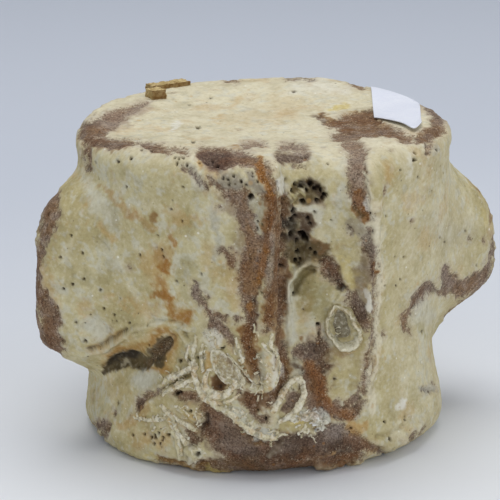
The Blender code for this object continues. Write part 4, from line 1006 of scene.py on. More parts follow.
def around(kind, line, reach, far=False):
    """What measured gives round a line, with edges of some kind. A far line isn't in pixels."""
    stroke = far_stroke(line) if far else picture_stroke(line)
    return measured(spaces[kind][int(far)], stroke, reach)


# -------------------------------- where the crust is gone

CRUST_REACH = 3.0  # mm: the crust field goes no further from an edge
unseen = 1 - shows(angle) * (1 - smoothstep(3.4, 3.9, stage))
unseen = np.where(stage < 1.6, 0.0, unseen)
broad = layered(form_mm, 15.0, 31, 3)
crust_field = np.full(len(form), CRUST_REACH)
for far, table in enumerate((BARE_PATCHES, FAR_BARE)):
    for line in table.values():
        near, past, _ = around("ragged", line, CRUST_REACH, far)
        crust_field[near] = np.minimum(crust_field[near], past)
for line in CRUST_ISLANDS.values():
    near, past, _ = around("ragged", line, CRUST_REACH)
    crust_field[near] = np.maximum(crust_field[near], -past)
for line in FINE_BARE.values():
    near, past, _ = around("wander", line, CRUST_REACH)
    crust_field[near] = np.minimum(crust_field[near], past)
lump_rise = np.zeros(len(form))
for rise, line in LUMPS.values():
    near, past, _ = around("wander", line, CRUST_REACH)
    past = past + 0.35 * ragged[near, 0]
    crust_field[near] = np.maximum(crust_field[near], -past)
    lump_rise[near] = np.maximum(lump_rise[near], rise * (1 - smoothstep(-0.9, 0.25, past)))
worn = (0.34 - broad) * 9.0 + layered(form_mm, 3.0, 35, 2) * 1.4
crust_field = np.where(unseen > 0, np.minimum(crust_field, worn + 6.0 * (1 - unseen)), crust_field)
FLECK_SPACING, FLECK_RARITY = 5.2, 0.80  # small bare flecks: mm apart, share of the places without one
flecks, fleck_number = cells(form_mm + ragged * 0.5, FLECK_SPACING, 41)
fleck_size = np.where(fleck_number > FLECK_RARITY, (fleck_number - FLECK_RARITY) * 4.6, 0.0)
fleck_edge = np.where(fleck_size > 0, flecks * FLECK_SPACING - fleck_size, CRUST_REACH)
crust_field = np.minimum(crust_field, fleck_edge)
crust_field = np.clip(crust_field, -CRUST_REACH, CRUST_REACH)
crusted = smoothstep(-0.45, 0.60, crust_field)

# -------------------------------- the heights of the skin, in mm

CRUST_RISE = 0.50
smooth_flank = smoothstep(18.0, 34.0, turned(angle, 0.0)) * shows(angle)
on_top = 1 - smoothstep(1.0, 1.9, stage)
calm = np.maximum(0.55 * smooth_flank, 0.45 * on_top)
height = CRUST_RISE * crusted - 0.55 * CRUST_RISE + 0.07 * bump(crust_field - 0.6, 0.5)
height += (0.50 * layered(form_mm, 17.0, 51, 2) + 0.34 * layered(form_mm, 6.5, 54, 3)) * (1 - 0.5 * calm)
lump, lump_number = cells(form_mm + ragged * 0.4, 2.5, 61)
quick_lumps = layered(form_mm, 1.1, 62, 2)
height += crusted * (1 - calm) * 0.24 * (0.45 - lump * lump) * (0.4 + lump_number)
height += crusted * (0.08 - 0.04 * calm) * layered(form_mm, 1.5, 64, 2)
height += (1 - crusted) * (0.13 * layered(form_mm, 1.3, 67, 2) + 0.07 * noise(form_mm, 0.7, 69))

clumps, clump_number = cells(form_mm + ragged * 0.5, 1.5, 63)
clumped = smoothstep(0.05, 0.4, lump_rise) * 0.5 * (0.4 - clumps) * clump_number
height += lump_rise * (0.75 + 0.35 * quick_lumps) + clumped


def round_top(past, width):
    """The height of a rounded ridge, 0 to 1, where a point is so far past its edge."""
    return np.clip(1 - ((past + width) / np.maximum(width, 1e-6)) ** 2, 0.0, 1.0) ** 0.75


for rise, line in RIDGES.values():
    near, past, width = around("wander", line, 0.0)
    height[near] += rise * round_top(past, width) * (0.8 + 0.35 * ragged[near, 0])
for rise, line in FAR_RIDGES.values():
    near, past, width = around("wander", line, 0.0, far=True)
    height[near] += rise * round_top(past, width)
for depth, line in HOLLOWS.values():
    near, past, width = around("wander", line, 1.4)
    height[near] -= depth * (1 - smoothstep(-0.7 * width, 0.35 * width + 0.15, past))

LEAST_HOLE = 0.40  # mm: radius below which the grid can't hold a hole
pit = np.zeros(len(form))
for x, y, radius, depth in HOLES:
    near, past, width = around("wander", ((x, y, radius),), 1.0)
    reach = np.maximum(width, LEAST_HOLE)
    pit[near] = np.maximum(pit[near], depth * (1 - smoothstep(0.45 * reach, 1.08 * reach, past + width)))
PORE_SPACING, PORE_RARITY = 3.4, 0.52  # small pores all over: mm apart, share of the places without one
pore, pore_number = cells(form_mm + wander, PORE_SPACING, 71)
pore_size = np.where(pore_number > PORE_RARITY, 0.24 + 0.5 * (pore_number - PORE_RARITY), 0.0)
pore_size = pore_size * (1 - 0.35 * calm)
pore_fill = 1 - smoothstep(0.5 * pore_size, 1.1 * pore_size + 1e-6, pore * PORE_SPACING)
pit = np.maximum(pit, 0.7 * pore_fill * (pore_size > 0))
sponge = np.zeros(len(form))
for line in SPONGE.values():
    near, past, _ = around("ragged", line, 1.0)
    sponge[near] = np.maximum(sponge[near], 1 - smoothstep(-0.5, 0.6, past))
cavity, cavity_number = cells(form_mm + wander, 1.9, 73)
cavity += 0.22 * noise(form_mm, 0.7, 77)
cavity_depth = 0.30 + 1.1 * smoothstep(0.40, 0.90, cavity_number)
pit = np.maximum(pit, sponge * cavity_depth * (1 - smoothstep(0.14, 0.46, cavity)))
height -= pit

# -------------------------------- places over the bone's side

BRIDGE_ANGLE, BRIDGE_TRIES = 2.4, 7  # a place spans hollows narrower than about twice this


def on_side(angle, height, lift):
    """A point over the bone's side, lifted straight out from the axis, that bridges any narrow hollow."""
    angle, height = np.asarray(angle, float), np.asarray(height, float)
    steps = np.linspace(-BRIDGE_ANGLE, BRIDGE_ANGLE, BRIDGE_TRIES)
    radius = np.max([side_radius(angle + step, height) for step in steps], axis=0) + lift
    around = np.radians(angle)
    return np.stack([AXIS_X + radius * np.sin(around), AXIS_Y - radius * np.cos(around), height], -1)


# -------------------------------- the label's bed on the upper face

LABEL_LENGTH, LABEL_WIDTH = 0.0445, 0.0127
LABEL_CORNER = np.array([0.0240, -0.0155])  # front left corner, seen from the axis
LABEL_TURN, LABEL_SLANT = math.radians(69.0), 0.0086
LABEL_ALONG = np.array([math.cos(LABEL_TURN), math.sin(LABEL_TURN)])
LABEL_ACROSS = np.array([LABEL_ALONG[1], -LABEL_ALONG[0]])
LABEL_BED = 0.15  # mm: the most that the skin stands up under the label

seat = surface(angle, np.minimum(stage, 1.0))[:, :2] - (AXIS_X, AXIS_Y)
spread = np.clip(stage - 1, 0.0, 1.0) * np.pi / 2 * rims(angle)[0]
outward = np.stack([np.sin(np.radians(angle)), -np.cos(np.radians(angle))], -1)
flat = seat + outward * spread[:, None]  # the upper face and its rim laid out flat
label_u = (flat - LABEL_CORNER) @ LABEL_ACROSS
label_v = (flat - LABEL_CORNER) @ LABEL_ALONG + label_u / LABEL_WIDTH * LABEL_SLANT
outside = np.maximum.reduce([-label_u, label_u - LABEL_WIDTH, -label_v, label_v - LABEL_LENGTH]) / MM
under_label = (1 - smoothstep(0.5, 2.2, outside)) * (stage < 2.2)
height = np.where(height > LABEL_BED, height + (LABEL_BED - height) * under_label, height)

# The underside stays on the floor: its marks are drawn in a little, and nothing sinks below the floor.
UNDERSIDE_SHRINK = 0.25  # mm
height -= UNDERSIDE_SHRINK * smoothstep(3.3, 3.9, stage)
lifted = form + form_normal * height[:, None] * MM
lifted[:, 2] = np.maximum(lifted[:, 2], 0.0)
hollow = np.clip(softened(height, all_faces, 7) - height, -1.0, 1.0)
skin_normal = vertex_normals(lifted, all_faces)

# -------------------------------- the colours of the skin

def tint(colours, colour, share):
    """Colours moved towards one colour by a share for each point."""
    return colours + (colour - colours) * np.clip(share, 0.0, 1.0)[:, None]


def painted(count, base, coats):
    """The colours of so many points: a base, then coats of (colour, share), each over the last."""
    colours = np.tile(base, (count, 1))
    for colour, share in coats:
        colours = tint(colours, colour, share)
    return colours


crisp_noise = layered(form_mm, 0.9, 95, 2)
slow, middle_noise = layered(form_mm, 16.0, 81, 3), layered(form_mm, 5.5, 85, 3)
quick_noise = layered(form_mm, 2.0, 89, 2)
warm = layered(form_mm, 9.0, 93, 3)
edge_stain = bump(crust_field - 0.1, 0.8) * (0.5 + 0.5 * smoothstep(-0.3, 0.4, middle_noise))
crust_colour = painted(len(form), OLIVE_CREAM, (
    (CREAM, smoothstep(-0.35, 0.35, slow + 0.5 * middle_noise)),
    # Painted light: paler on the upper face and on the right flank, where more light falls
    (PALE, 0.80 * on_top + 0.30 * smooth_flank),
    (PALE, 0.30 * smoothstep(0.15, 0.55, middle_noise)),
    (COOL_WHITE, 0.45 * smoothstep(0.15, 0.50, quick_noise + 0.5 * slow + 0.3 * crisp_noise)),
    (OLIVE, 0.30 * smoothstep(0.15, 0.6, -middle_noise) * (1 - 0.6 * calm)),
    (OCHRE, 0.40 * smoothstep(0.20, 0.6, warm + 0.3 * crisp_noise) * (1 - 0.5 * calm)),
    (PINK_BROWN, 0.50 * edge_stain),
))
bone_colour = painted(len(form), BROWN, (
    (PURPLE_BROWN, smoothstep(-0.3, 0.4, slow)),
    (RED_BROWN, 0.6 * smoothstep(0.0, 0.5, middle_noise)),
    (PINK_BROWN, 0.5 * smoothstep(0.15, 0.5, quick_noise)),
    (DARK_BROWN, 0.45 * smoothstep(0.15, 0.6, -quick_noise)),
))
soiled = np.zeros(len(form))  # how dark the stains are, where dust and wear show less
BRIGHTNESS = (0.21, 0.72, 0.07)  # of red, green and blue


def paint_stain_and_shade(colour, strength, soft, line, far=False):
    """Paints crust and bone along a line, for stains and for painted shade. A dark colour sinks in, so that
    it keeps the grain under it.
    """
    near, past, _ = around("drift", line, soft * 1.5, far)
    broken = past + soft * (0.5 * quick_noise[near] + 0.6 * crisp_noise[near])
    share = strength * (1 - smoothstep(-0.5 * soft, soft, broken)) * (0.85 + 0.3 * middle_noise[near])
    darkness = np.clip(1 - 2.4 * float(colour @ BRIGHTNESS), 0.0, 1.0)
    for paint in (crust_colour, bone_colour):
        even = tint(paint[near], colour, share)
        sunk_in = np.exp(tint(np.log(paint[near]), np.log(colour), share))
        paint[near] = even + (sunk_in - even) * darkness
    soiled[near] += (darkness - soiled[near]) * np.clip(share, 0.0, 1.0)


for colour, strength, soft, line in STAINS_AND_SHADE.values():
    paint_stain_and_shade(colour, strength, soft * PIXEL / MM, line)
for mark in FAR_STAINS.values():
    paint_stain_and_shade(*mark, far=True)
# Painted shade, darker in the skin's hollows and pits, and a painted highlight, paler on its high spots and
# less so on dark stains
dark = 0.9 * smoothstep(0.10, 0.75, hollow) + 0.8 * smoothstep(0.15, 0.9, pit) * (1 - 0.3 * sponge)
dark = np.clip(dark, 0.0, 1.0)
light = smoothstep(0.05, 0.5, -hollow) * (1 - 0.8 * soiled)

# -------------------------------- shader wires

class Wire:
    """A socket in a material's node tree. Arithmetic on it adds Math nodes."""

    def __init__(self, tree, socket=None):
        self.tree, self.socket = tree, socket

    def node(self, kind, settings=None, inputs=None, output=0):
        """Adds a node: its settings, then the values or links of its sockets. Gives one of its outputs."""
        made = self.tree.nodes.new(kind)
        for name, value in (settings or {}).items():
            setattr(made, name, value)
        for key, value in (inputs or {}).items():
            if isinstance(value, Wire):
                self.tree.links.new(value.socket, made.inputs[key])
            else:
                made.inputs[key].default_value = value
        return Wire(self.tree, made.outputs[output])

    def math(self, operation, *values):
        return self.node("ShaderNodeMath", {"operation": operation}, dict(enumerate(values)))

    def __add__(self, other):
        return self.math("ADD", self, other)

    def __sub__(self, other):
        return self.math("SUBTRACT", self, other)

    def __rsub__(self, other):
        return self.math("SUBTRACT", other, self)

    def __mul__(self, other):
        return self.math("MULTIPLY", self, other)

    __radd__, __rmul__ = __add__, __mul__

    def step(self, low, high):
        """A smooth step from 0 at low to 1 at high."""
        settings = {"interpolation_type": "SMOOTHSTEP"}
        return self.node("ShaderNodeMapRange", settings, {"Value": self, "From Min": low, "From Max": high})

    def mix(self, first, second, blend="MIX"):
        """The colour first where this is 0 and second where it is 1."""
        colours = [value if isinstance(value, Wire) else (*value, 1.0) for value in (first, second)]
        settings = {"data_type": "RGBA", "blend_type": blend}
        return self.node("ShaderNodeMix", settings, {0: self, 6: colours[0], 7: colours[1]}, 2)


def new_material(name):
    """A material with a bare Principled shader, and its wires."""
    made = bpy.data.materials.new(name)
    made.use_nodes = True
    wires = Wire(made.node_tree)
    place = wires.node("ShaderNodeTexCoord", output="Object")
    return made, wires, place, made.node_tree.nodes["Principled BSDF"]


def grain(place, size, detail=2.0, roughness=0.6, distortion=0.0):
    """Noise with lumps about size in metres across."""
    inputs = {"Vector": place, "Scale": 1 / size, "Detail": detail, "Roughness": roughness}
    return place.node("ShaderNodeTexNoise", inputs={**inputs, "Distortion": distortion})


def spots(place, size, output="Distance"):
    """Distance to points scattered about size in metres apart, as a share of it, or their random colour."""
    return place.node("ShaderNodeTexVoronoi", inputs={"Vector": place, "Scale": 1 / size}, output=output)


def dots(place, size, radius, rarity):
    """1 inside dots about size in metres apart, of up to some radius. A share of the places have none."""
    picked = place.node("ShaderNodeSeparateColor", inputs={0: spots(place, size, "Color")})
    reach = (picked - rarity) * (radius / size / (1 - rarity))
    return (reach - spots(place, size)).step(-0.03, 0.04)


def finish(shader, colour, roughness, relief, depth):
    """Wires a colour, a roughness and a relief of some depth in metres to a shader."""
    links = colour.tree.links
    links.new(colour.socket, shader.inputs["Base Color"])
    links.new(roughness.socket, shader.inputs["Roughness"])
    bumped = colour.node("ShaderNodeBump", inputs={"Strength": 1.0, "Distance": depth, "Height": relief})
    links.new(bumped.socket, shader.inputs["Normal"])
    shader.inputs["Specular IOR Level"].default_value = 0.25


def attribute(wires, name, output="Fac"):
    """What the mesh says under a name."""
    return wires.node("ShaderNodeAttribute", {"attribute_name": name}, output=output)


def crusted_bone():
    """Chalky crust over granular brown bone, with painted shade in hollows and pits and a painted highlight
    on high spots. The mesh says how deep the crust is, the colour of each and where the painted shade and
    highlight go.
    """
    made, wires, place, shader = new_material("crusted_bone")
    depth = attribute(wires, "crust_depth")
    hollow_pit_shade = attribute(wires, "shade_in_hollows")
    painted_highlight = attribute(wires, "highlight_on_high_spots")
    clean = 1 - attribute(wires, "soiled") * 0.85
    crust_paint = attribute(wires, "crust_colour", "Color")
    bone_paint = attribute(wires, "bone_colour", "Color")
    fine, finer = grain(place, 0.0009, 4.0), grain(place, 0.0004, 3.0)
    coarse, broad = grain(place, 0.0030, 5.0, 0.65), grain(place, 0.0075, 3.0)
    crust = (depth + (fine - 0.5) * 1.8 + (finer - 0.5) * 1.6).step(-0.30, 0.30)
    dust = (depth + (fine - 0.5) * 3.0).step(-1.7, 0.3)

    crust_tone = ((1 - coarse.step(0.36, 0.62)) * 0.18).mix(crust_paint, linear(176, 158, 112), "MULTIPLY")
    crust_tone = (fine.step(0.50, 0.70) * clean * 0.20).mix(crust_tone, linear(236, 232, 216))
    crust_tone = ((1 - fine.step(0.30, 0.48)) * 0.22).mix(crust_tone, linear(168, 148, 104), "MULTIPLY")
    crust_tone = (dots(place, 0.0052, 0.00075, 0.45) * 0.40).mix(crust_tone, OCHRE)
    crust_tone = (dots(place, 0.0024, 0.00034, 0.55) * clean * 0.60).mix(crust_tone, linear(240, 238, 228))
    crust_tone = (dots(place, 0.0030, 0.00036, 0.60) * 0.80).mix(crust_tone, DARK_OLIVE)
    crust_tone = (dots(place, 0.0015, 0.00022, 0.62) * 0.55).mix(crust_tone, linear(112, 98, 66))

    bone_tone = (broad.step(0.50, 0.62) * 0.36).mix(bone_paint, linear(118, 76, 46))
    bone_tone = ((1 - broad.step(0.38, 0.48)) * clean * 0.42).mix(bone_tone, linear(148, 132, 120))
    bone_tone = ((1 - fine.step(0.36, 0.50)) * 0.42).mix(bone_tone, linear(100, 68, 44), "MULTIPLY")
    bone_tone = ((1 - finer.step(0.38, 0.50)) * 0.50).mix(bone_tone, linear(86, 62, 42), "MULTIPLY")
    bone_tone = (dots(place, 0.0024, 0.00050, 0.50) * 0.40).mix(bone_tone, RUST_ORANGE)
    chalky = dots(place, 0.0008, 0.00024, 0.35) * (dust * 0.40 + clean * 0.35)
    bone_tone = chalky.mix(bone_tone, linear(206, 188, 160))
    bone_tone = (finer.step(0.56, 0.68) * (dust * 0.45 + clean * 0.20)).mix(bone_tone, PALE)
    bone_tone = (dots(place, 0.0011, 0.00024, 0.50) * 0.75).mix(bone_tone, linear(44, 32, 24))

    haze = (depth + (fine - 0.5) * 1.2).step(-1.1, 0.3) * clean * 0.36
    colour = crust.mix(haze.mix(bone_tone, crust_tone), crust_tone)
    # Painted highlight on the high spots, then painted shade in the hollows and pits
    colour = (painted_highlight * 0.30).mix(colour, linear(226, 220, 196))
    colour = (hollow_pit_shade * 0.88).mix(colour, linear(66, 46, 30), "MULTIPLY")
    roughness = crust * 0.16 + 0.68 + (fine - 0.5) * 0.2
    relief = crust * (coarse * 0.6 + fine * 0.25) + (1 - crust) * (finer * 0.7 + fine * 0.6)
    finish(shader, colour, roughness, relief, 0.00020)
    return made


skin_finish = crusted_bone()

# -------------------------------- meshes and pieces

def placed(name, data):
    """A new object in the scene."""
    made = bpy.data.objects.new(name, data)
    bpy.context.scene.collection.objects.link(made)
    return made


def still_piece(name, mesh, nodes=()):
    """A piece of the model in its slot, in place of some of the frame's nodes."""
    piece = placed(name, mesh)
    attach(piece, "root")
    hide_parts(*nodes)
    return piece


def smooth_mesh(name, shape, *finishes):
    """A smooth mesh with its finish, from a shape that is then freed."""
    mesh = bpy.data.meshes.new(name)
    shape.to_mesh(mesh)
    shape.free()
    mesh.shade_smooth()
    for material in finishes:
        mesh.materials.append(material)
    return mesh


def baked_mesh(maker, name):
    """The plain mesh that an object's modifiers make. The object goes."""
    mesh = bpy.data.meshes.new_from_object(maker.evaluated_get(bpy.context.evaluated_depsgraph_get()))
    bpy.data.objects.remove(maker)
    mesh.name = name
    return mesh


def set_values(mesh, name, kind, key, values):
    """Gives a mesh's points values under a name."""
    flat = np.ascontiguousarray(values, np.float32).ravel()
    mesh.attributes.new(name, kind, "POINT").data.foreach_set(key, flat)


def point_values(source, key):
    """Three numbers for each point of a mesh's data."""
    values = np.empty(len(source) * 3, np.float32)
    source.foreach_get(key, values)
    return values.reshape(-1, 3).astype(float)


# -------------------------------- the pieces of the skin

BAKE_MAP = "OFBake"
MAP_SHARE, MAP_EDGE = 0.96, 0.03  # of a side's flat map: its size and its margin
MAP_HUB = 0.004  # where the closing fans lie on it


def square_place(along, ring):
    """Where a point lies on a square ring: along it as a share, and its size."""
    turn = along * 8.0
    side = np.floor(turn / 2).astype(int) % 4
    slide = turn - 2 * np.floor(turn / 2) - 1
    x = np.select([side == 0, side == 1, side == 2], [1.0 + 0 * slide, -slide, -1.0 + 0 * slide], slide)
    y = np.select([side == 0, side == 1, side == 2], [slide, 1.0 + 0 * slide, -slide], -1.0 + 0 * slide)
    return np.stack([x * ring, y * ring], -1)


def face_map(outermost, upper):
    """Flat places for an end plate's points, 0 to 1: its face's square grid, then the rings outside it."""
    places = np.zeros((len(form), 2))
    rings = np.repeat(np.arange(ROWS), COLUMNS)
    beyond = RINGS + (rings if upper else ROWS - 1 - rings)
    places[:ring_count] = square_place(np.tile(np.arange(COLUMNS) / COLUMNS, ROWS), beyond)
    inner = square_ring(FACE_X, FACE_Y)[0] < RINGS
    first = ring_count if upper else lower_start
    places[first : first + inner.sum()] = np.stack([FACE_X[inner], FACE_Y[inner]], -1)
    return 0.5 + places / (2.02 * (RINGS + outermost))


def side_map(first_column, columns, first_row, rows):
    """Flat places, 0 to 1, for the points of a piece of the side."""
    number = np.arange(ring_count)
    across = (number % COLUMNS - first_column) % COLUMNS
    down = number // COLUMNS - first_row
    places = np.zeros((len(form), 2))
    places[:ring_count] = np.stack([across / columns, down / rows], -1) * MAP_SHARE + MAP_EDGE
    return places


def skin_piece(name, faces, inside, flat_places, nodes):
    """One piece of the skin, closed by a fan from its border to a point inside the bone."""
    used, index = np.unique(faces, return_inverse=True)
    quads = index.reshape(faces.shape)
    hub = len(used)
    starts, ends = quads.ravel(), np.roll(quads, -1, axis=1).ravel()
    border = ~np.isin(starts * (hub + 1) + ends, ends * (hub + 1) + starts)
    fan = np.stack([ends[border], starts[border], np.full(border.sum(), hub)], -1)
    corners = np.concatenate([quads.ravel(), fan.ravel()])
    sizes = np.concatenate([np.full(len(quads), 4), np.full(len(fan), 3)])
    mesh = bpy.data.meshes.new(name)
    mesh.vertices.add(hub + 1)
    mesh.loops.add(len(corners))
    mesh.polygons.add(len(sizes))
    mesh.vertices.foreach_set("co", np.vstack([lifted[used], inside]).astype(np.float32).ravel())
    starts_at = np.concatenate([[0], np.cumsum(sizes)[:-1]])
    mesh.polygons.foreach_set("loop_start", starts_at.astype(np.int32))
    mesh.loops.foreach_set("vertex_index", corners.astype(np.int32))
    mesh.update(calc_edges=True)
    mesh.validate()
    mesh.shade_smooth()
    padded_normals = np.vstack([skin_normal[used], (0.0, 0.0, 1.0)])
    mesh.normals_split_custom_set_from_vertices(padded_normals.tolist())
    at_corners = np.full((len(corners), 2), MAP_HUB)
    at_corners[: quads.size] = flat_places[used][quads.ravel()]
    mesh.uv_layers.new(name=BAKE_MAP).data.foreach_set("uv", at_corners.astype(np.float32).ravel())

    def with_hub(values):
        return np.concatenate([values[used], values[used[:1]]])

    # The painted shade of hollows and pits and the painted highlight of high spots go along with the crust
    # depth and the stains
    fields = {"crust_depth": crust_field, "shade_in_hollows": dark, "highlight_on_high_spots": light, "soiled": soiled}
    for field_name, field in fields.items():
        set_values(mesh, field_name, "FLOAT", "value", with_hub(field))
    for paint_name, paint in (("crust_colour", crust_colour), ("bone_colour", bone_colour)):
        rgba = np.concatenate([with_hub(paint), np.ones((hub + 1, 1))], axis=1)
        set_values(mesh, paint_name, "FLOAT_COLOR", "color", rgba)
    mesh.materials.append(skin_finish)
    still_piece(name, mesh, nodes)


row_heights = form[:ring_count, 2].reshape(ROWS, COLUMNS).mean(axis=1)
upper_row = int(np.argmax(row_heights < UPPER_SEAM))
lower_row = int(np.argmax(row_heights < LOWER_SEAM))
hub_place = np.array([AXIS_X, AXIS_Y, 0.0])
upper_end = np.concatenate([ring_faces[row < upper_row], upper_faces])
lower_end = np.concatenate([ring_faces[row >= lower_row], lower_faces])
upper_map, lower_map = face_map(upper_row, True), face_map(ROWS - 1 - lower_row, False)
skin_piece("upper_end", upper_end, hub_place + (0, 0, UPPER_SEAM), upper_map, ("upper_end_plate",))
skin_piece("lower_end", lower_end, hub_place + (0, 0, LOWER_SEAM), lower_map, ("lower_end_plate",))
between = (row >= upper_row) & (row < lower_row)
for name, (start, end, nodes) in SIDE_PIECES.items():
    first, last = (int(np.argmin(np.abs(turned(ANGLES, side)))) for side in (start, end))
    width = (last - first) % COLUMNS
    chosen = between & ((column - first) % COLUMNS < width)
    flat_map = side_map(first, width, upper_row, lower_row - upper_row)
    middle = (UPPER_SEAM + LOWER_SEAM) / 2
    skin_piece(name, ring_faces[chosen], hub_place + (0, 0, middle), flat_map, nodes)

# -------------------------------- sea growths

def skin_search():
    """The skin that the camera sees, as a search tree."""
    front = all_faces[(unseen[all_faces] < 0.8).all(axis=1)]
    used, index = np.unique(front, return_inverse=True)
    return BVHTree.FromPolygons(lifted[used].tolist(), index.reshape(front.shape).tolist())


skin_tree = skin_search()


def ground(pixels):
    """The flat ground through the skin under some pixels, as a function from pixels and lifts to places."""
    places = np.array([seen(skin_tree, x, y)[0] for x, y in pixels])
    terms = np.column_stack([np.ones(len(pixels)), np.array(pixels, float)])
    corner, per_x, per_y = np.linalg.lstsq(terms, places, rcond=None)[0]
    out = np.cross(per_y, per_x)
    out /= np.linalg.norm(out) * np.sign(out @ -LOOK)
    out = 0.6 * out - 0.4 * LOOK  # leaned towards the camera

    def place_of(x, y, lift):
        x, y, lift = (np.asarray(value, float)[..., None] for value in np.broadcast_arrays(x, y, lift))
        return corner + x * per_x + y * per_y + out * lift * MM

    return place_of


def on_skin(line, lift, steps_each=6):
    """A tube's places and girths along a line of (x, y, half width) in pixels, lifted by a share of girth."""
    knots = np.arange(len(line))
    steps = np.linspace(0, len(line) - 1, steps_each * (len(line) - 1) + 1)
    x, y, girth = (through(list(zip(knots, values)), steps) for values in np.array(line, float).T)
    girth = np.maximum(girth, 0.3) * PIXEL
    found = [seen(skin_tree, *pixel) for pixel in zip(x.tolist(), y.tolist())]
    places, out = (np.array([np.array(part[k]) for part in found]) for k in (0, 1))
    for values in [places, out] * 4:
        values[1:-1] = (values[:-2] + 2 * values[1:-1] + values[2:]) / 4
    out /= np.linalg.norm(out, axis=1)[:, None]
    return list(zip((places + out * girth[:, None] * lift).tolist(), girth.tolist()))


GROWTH_GREY = linear(132, 122, 96)
GREENISH = linear(196, 194, 164)


def shell_growth():
    """Chalky shell with fine growth lines. The mesh says its colour."""
    made, wires, place, shader = new_material("shell_growth")
    paint = attribute(wires, "shell_colour", "Color")
    fine, finer = grain(place, 0.0008, 4.0), grain(place, 0.00035, 3.0)
    tone = ((1 - fine.step(0.34, 0.52)) * 0.45).mix(paint, linear(160, 138, 96), "MULTIPLY")
    tone = (fine.step(0.52, 0.66) * 0.40).mix(tone, linear(238, 234, 220))
    tone = (dots(place, 0.0014, 0.00026, 0.55) * 0.65).mix(tone, DARK_OLIVE)
    finish(shader, tone, finer * 0.2 + 0.66, fine * 0.7 + finer * 0.4, 0.00020)
    return made


shell_finish = shell_growth()
TUBE_SIDES, TUBE_BORE = 16, 0.62  # corners round a tube, and its mouth's width as a share of the tube's


def tube_tree():
    """Geometry Nodes that make worm tubes of a mesh's lines. Each point's girth comes with the line. The
    tree's own sizes are for the growth rings, the wall's roughness and lumps and the open mouth."""
    tree = bpy.data.node_groups.new("worm_tube", "GeometryNodeTree")
    sockets = tree.interface
    sockets.new_socket("Lines", in_out="INPUT", socket_type="NodeSocketGeometry")
    for name in ("Step", "Ring Spacing", "Ring Rise", "Roughness", "Lump Size", "Mouth Depth"):
        sockets.new_socket(name, in_out="INPUT", socket_type="NodeSocketFloat")
    sockets.new_socket("Finish", in_out="INPUT", socket_type="NodeSocketMaterial")
    sockets.new_socket("Tubes", in_out="OUTPUT", socket_type="NodeSocketGeometry")
    wires = Wire(tree)

    def given(name):
        return wires.node("NodeGroupInput", output=name)

    def step(kind, inputs, settings=None):
        return wires.node("GeometryNode" + kind, settings, inputs)

    def lumps(size, depth):
        inputs = {"Scale": wires.math("DIVIDE", 1.0, size), "Detail": 3.0}
        cloud = wires.node("ShaderNodeTexNoise", inputs=inputs, output="Color")
        push = wires.node("ShaderNodeVectorMath", {"operation": "SUBTRACT"}, {0: cloud, 1: (0.5, 0.5, 0.5)})
        return wires.node("ShaderNodeVectorMath", {"operation": "SCALE"}, {0: push, "Scale": depth})

    line = step("MeshToCurve", {"Mesh": given("Lines")})
    line = step("ResampleCurve", {"Curve": line, "Length": given("Step")}, {"mode": "LENGTH"})
    girth = step("InputNamedAttribute", {"Name": "girth"}, {"data_type": "FLOAT"})
    along = wires.node("GeometryNodeSplineParameter", output="Length")
    rings = wires.math("SINE", wires.math("DIVIDE", along * (2 * math.pi), given("Ring Spacing")))
    outline = step("CurvePrimitiveCircle", {"Resolution": TUBE_SIDES, "Radius": 1.0}, {"mode": "RADIUS"})
    swelling = girth * (rings * given("Ring Rise") + 1.0)
    inputs = {"Curve": line, "Profile Curve": outline, "Scale": swelling, "Fill Caps": True}
    wall = step("CurveToMesh", inputs)
    corners = wires.node("GeometryNodeInputMeshFaceNeighbors", output="Vertex Count")
    more = {"data_type": "INT", "operation": "GREATER_THAN"}
    end_caps = corners.node("FunctionNodeCompare", more, {2: corners, 3: 4})
    lip = step("ExtrudeMesh", {"Mesh": wall, "Selection": end_caps, "Offset Scale": 0.0})
    top = Wire(tree, lip.socket.node.outputs["Top"])
    lip = step("ScaleElements", {"Geometry": lip, "Selection": top, "Scale": TUBE_BORE})
    depth = given("Mouth Depth") * -1.0
    mouth = step("ExtrudeMesh", {"Mesh": lip, "Selection": top, "Offset Scale": depth})
    offset = lumps(given("Lump Size"), given("Roughness"))
    rough = step("SetPosition", {"Geometry": mouth, "Offset": offset})
    fine_size, fine_depth = given("Lump Size") * 0.33, given("Roughness") * 0.45
    rough = step("SetPosition", {"Geometry": rough, "Offset": lumps(fine_size, fine_depth)})
    smooth = step("SetShadeSmooth", {"Geometry": rough})
    real = step("RealizeInstances", {"Geometry": smooth})
    done = step("SetMaterial", {"Geometry": real, "Material": given("Finish")})
    tree.links.new(done.socket, tree.nodes.new("NodeGroupOutput").inputs[0])
    return tree


def made_by_nodes(name, mesh, tree, sizes):
    """A plain mesh from a mesh and a tree whose inputs are named sizes."""
    seed = placed(name + "_lines", mesh)
    change = seed.modifiers.new(tree.name, "NODES")
    change.node_group = tree
    named = {item.name: item.identifier for item in tree.interface.items_tree if item.in_out == "INPUT"}
    for key, value in sizes.items():
        change[named[key]] = value
    return baked_mesh(seed, name)


def paint_shell(mesh, base, marks=()):
    """Gives a growth's mesh its colours: one, clouded with others by noise, then marks of (colour, share)."""
    places = point_values(mesh.vertices, "co") / MM
    colours = painted(len(places), base, (
        (CREAM, 0.6 * smoothstep(-0.3, 0.5, noise(places, 3.0, 101))),
        (OCHRE, 0.40 * smoothstep(0.15, 0.6, noise(places, 2.0, 102))),
        (CHALK, 0.45 * smoothstep(0.05, 0.5, noise(places, 0.9, 104))),
        (GROWTH_GREY, 0.65 * smoothstep(0.10, 0.55, layered(places, 1.3, 103, 2))),
        *marks,
    ))
    set_values(mesh, "shell_colour", "FLOAT_COLOR", "color", np.column_stack([colours, np.ones(len(places))]))


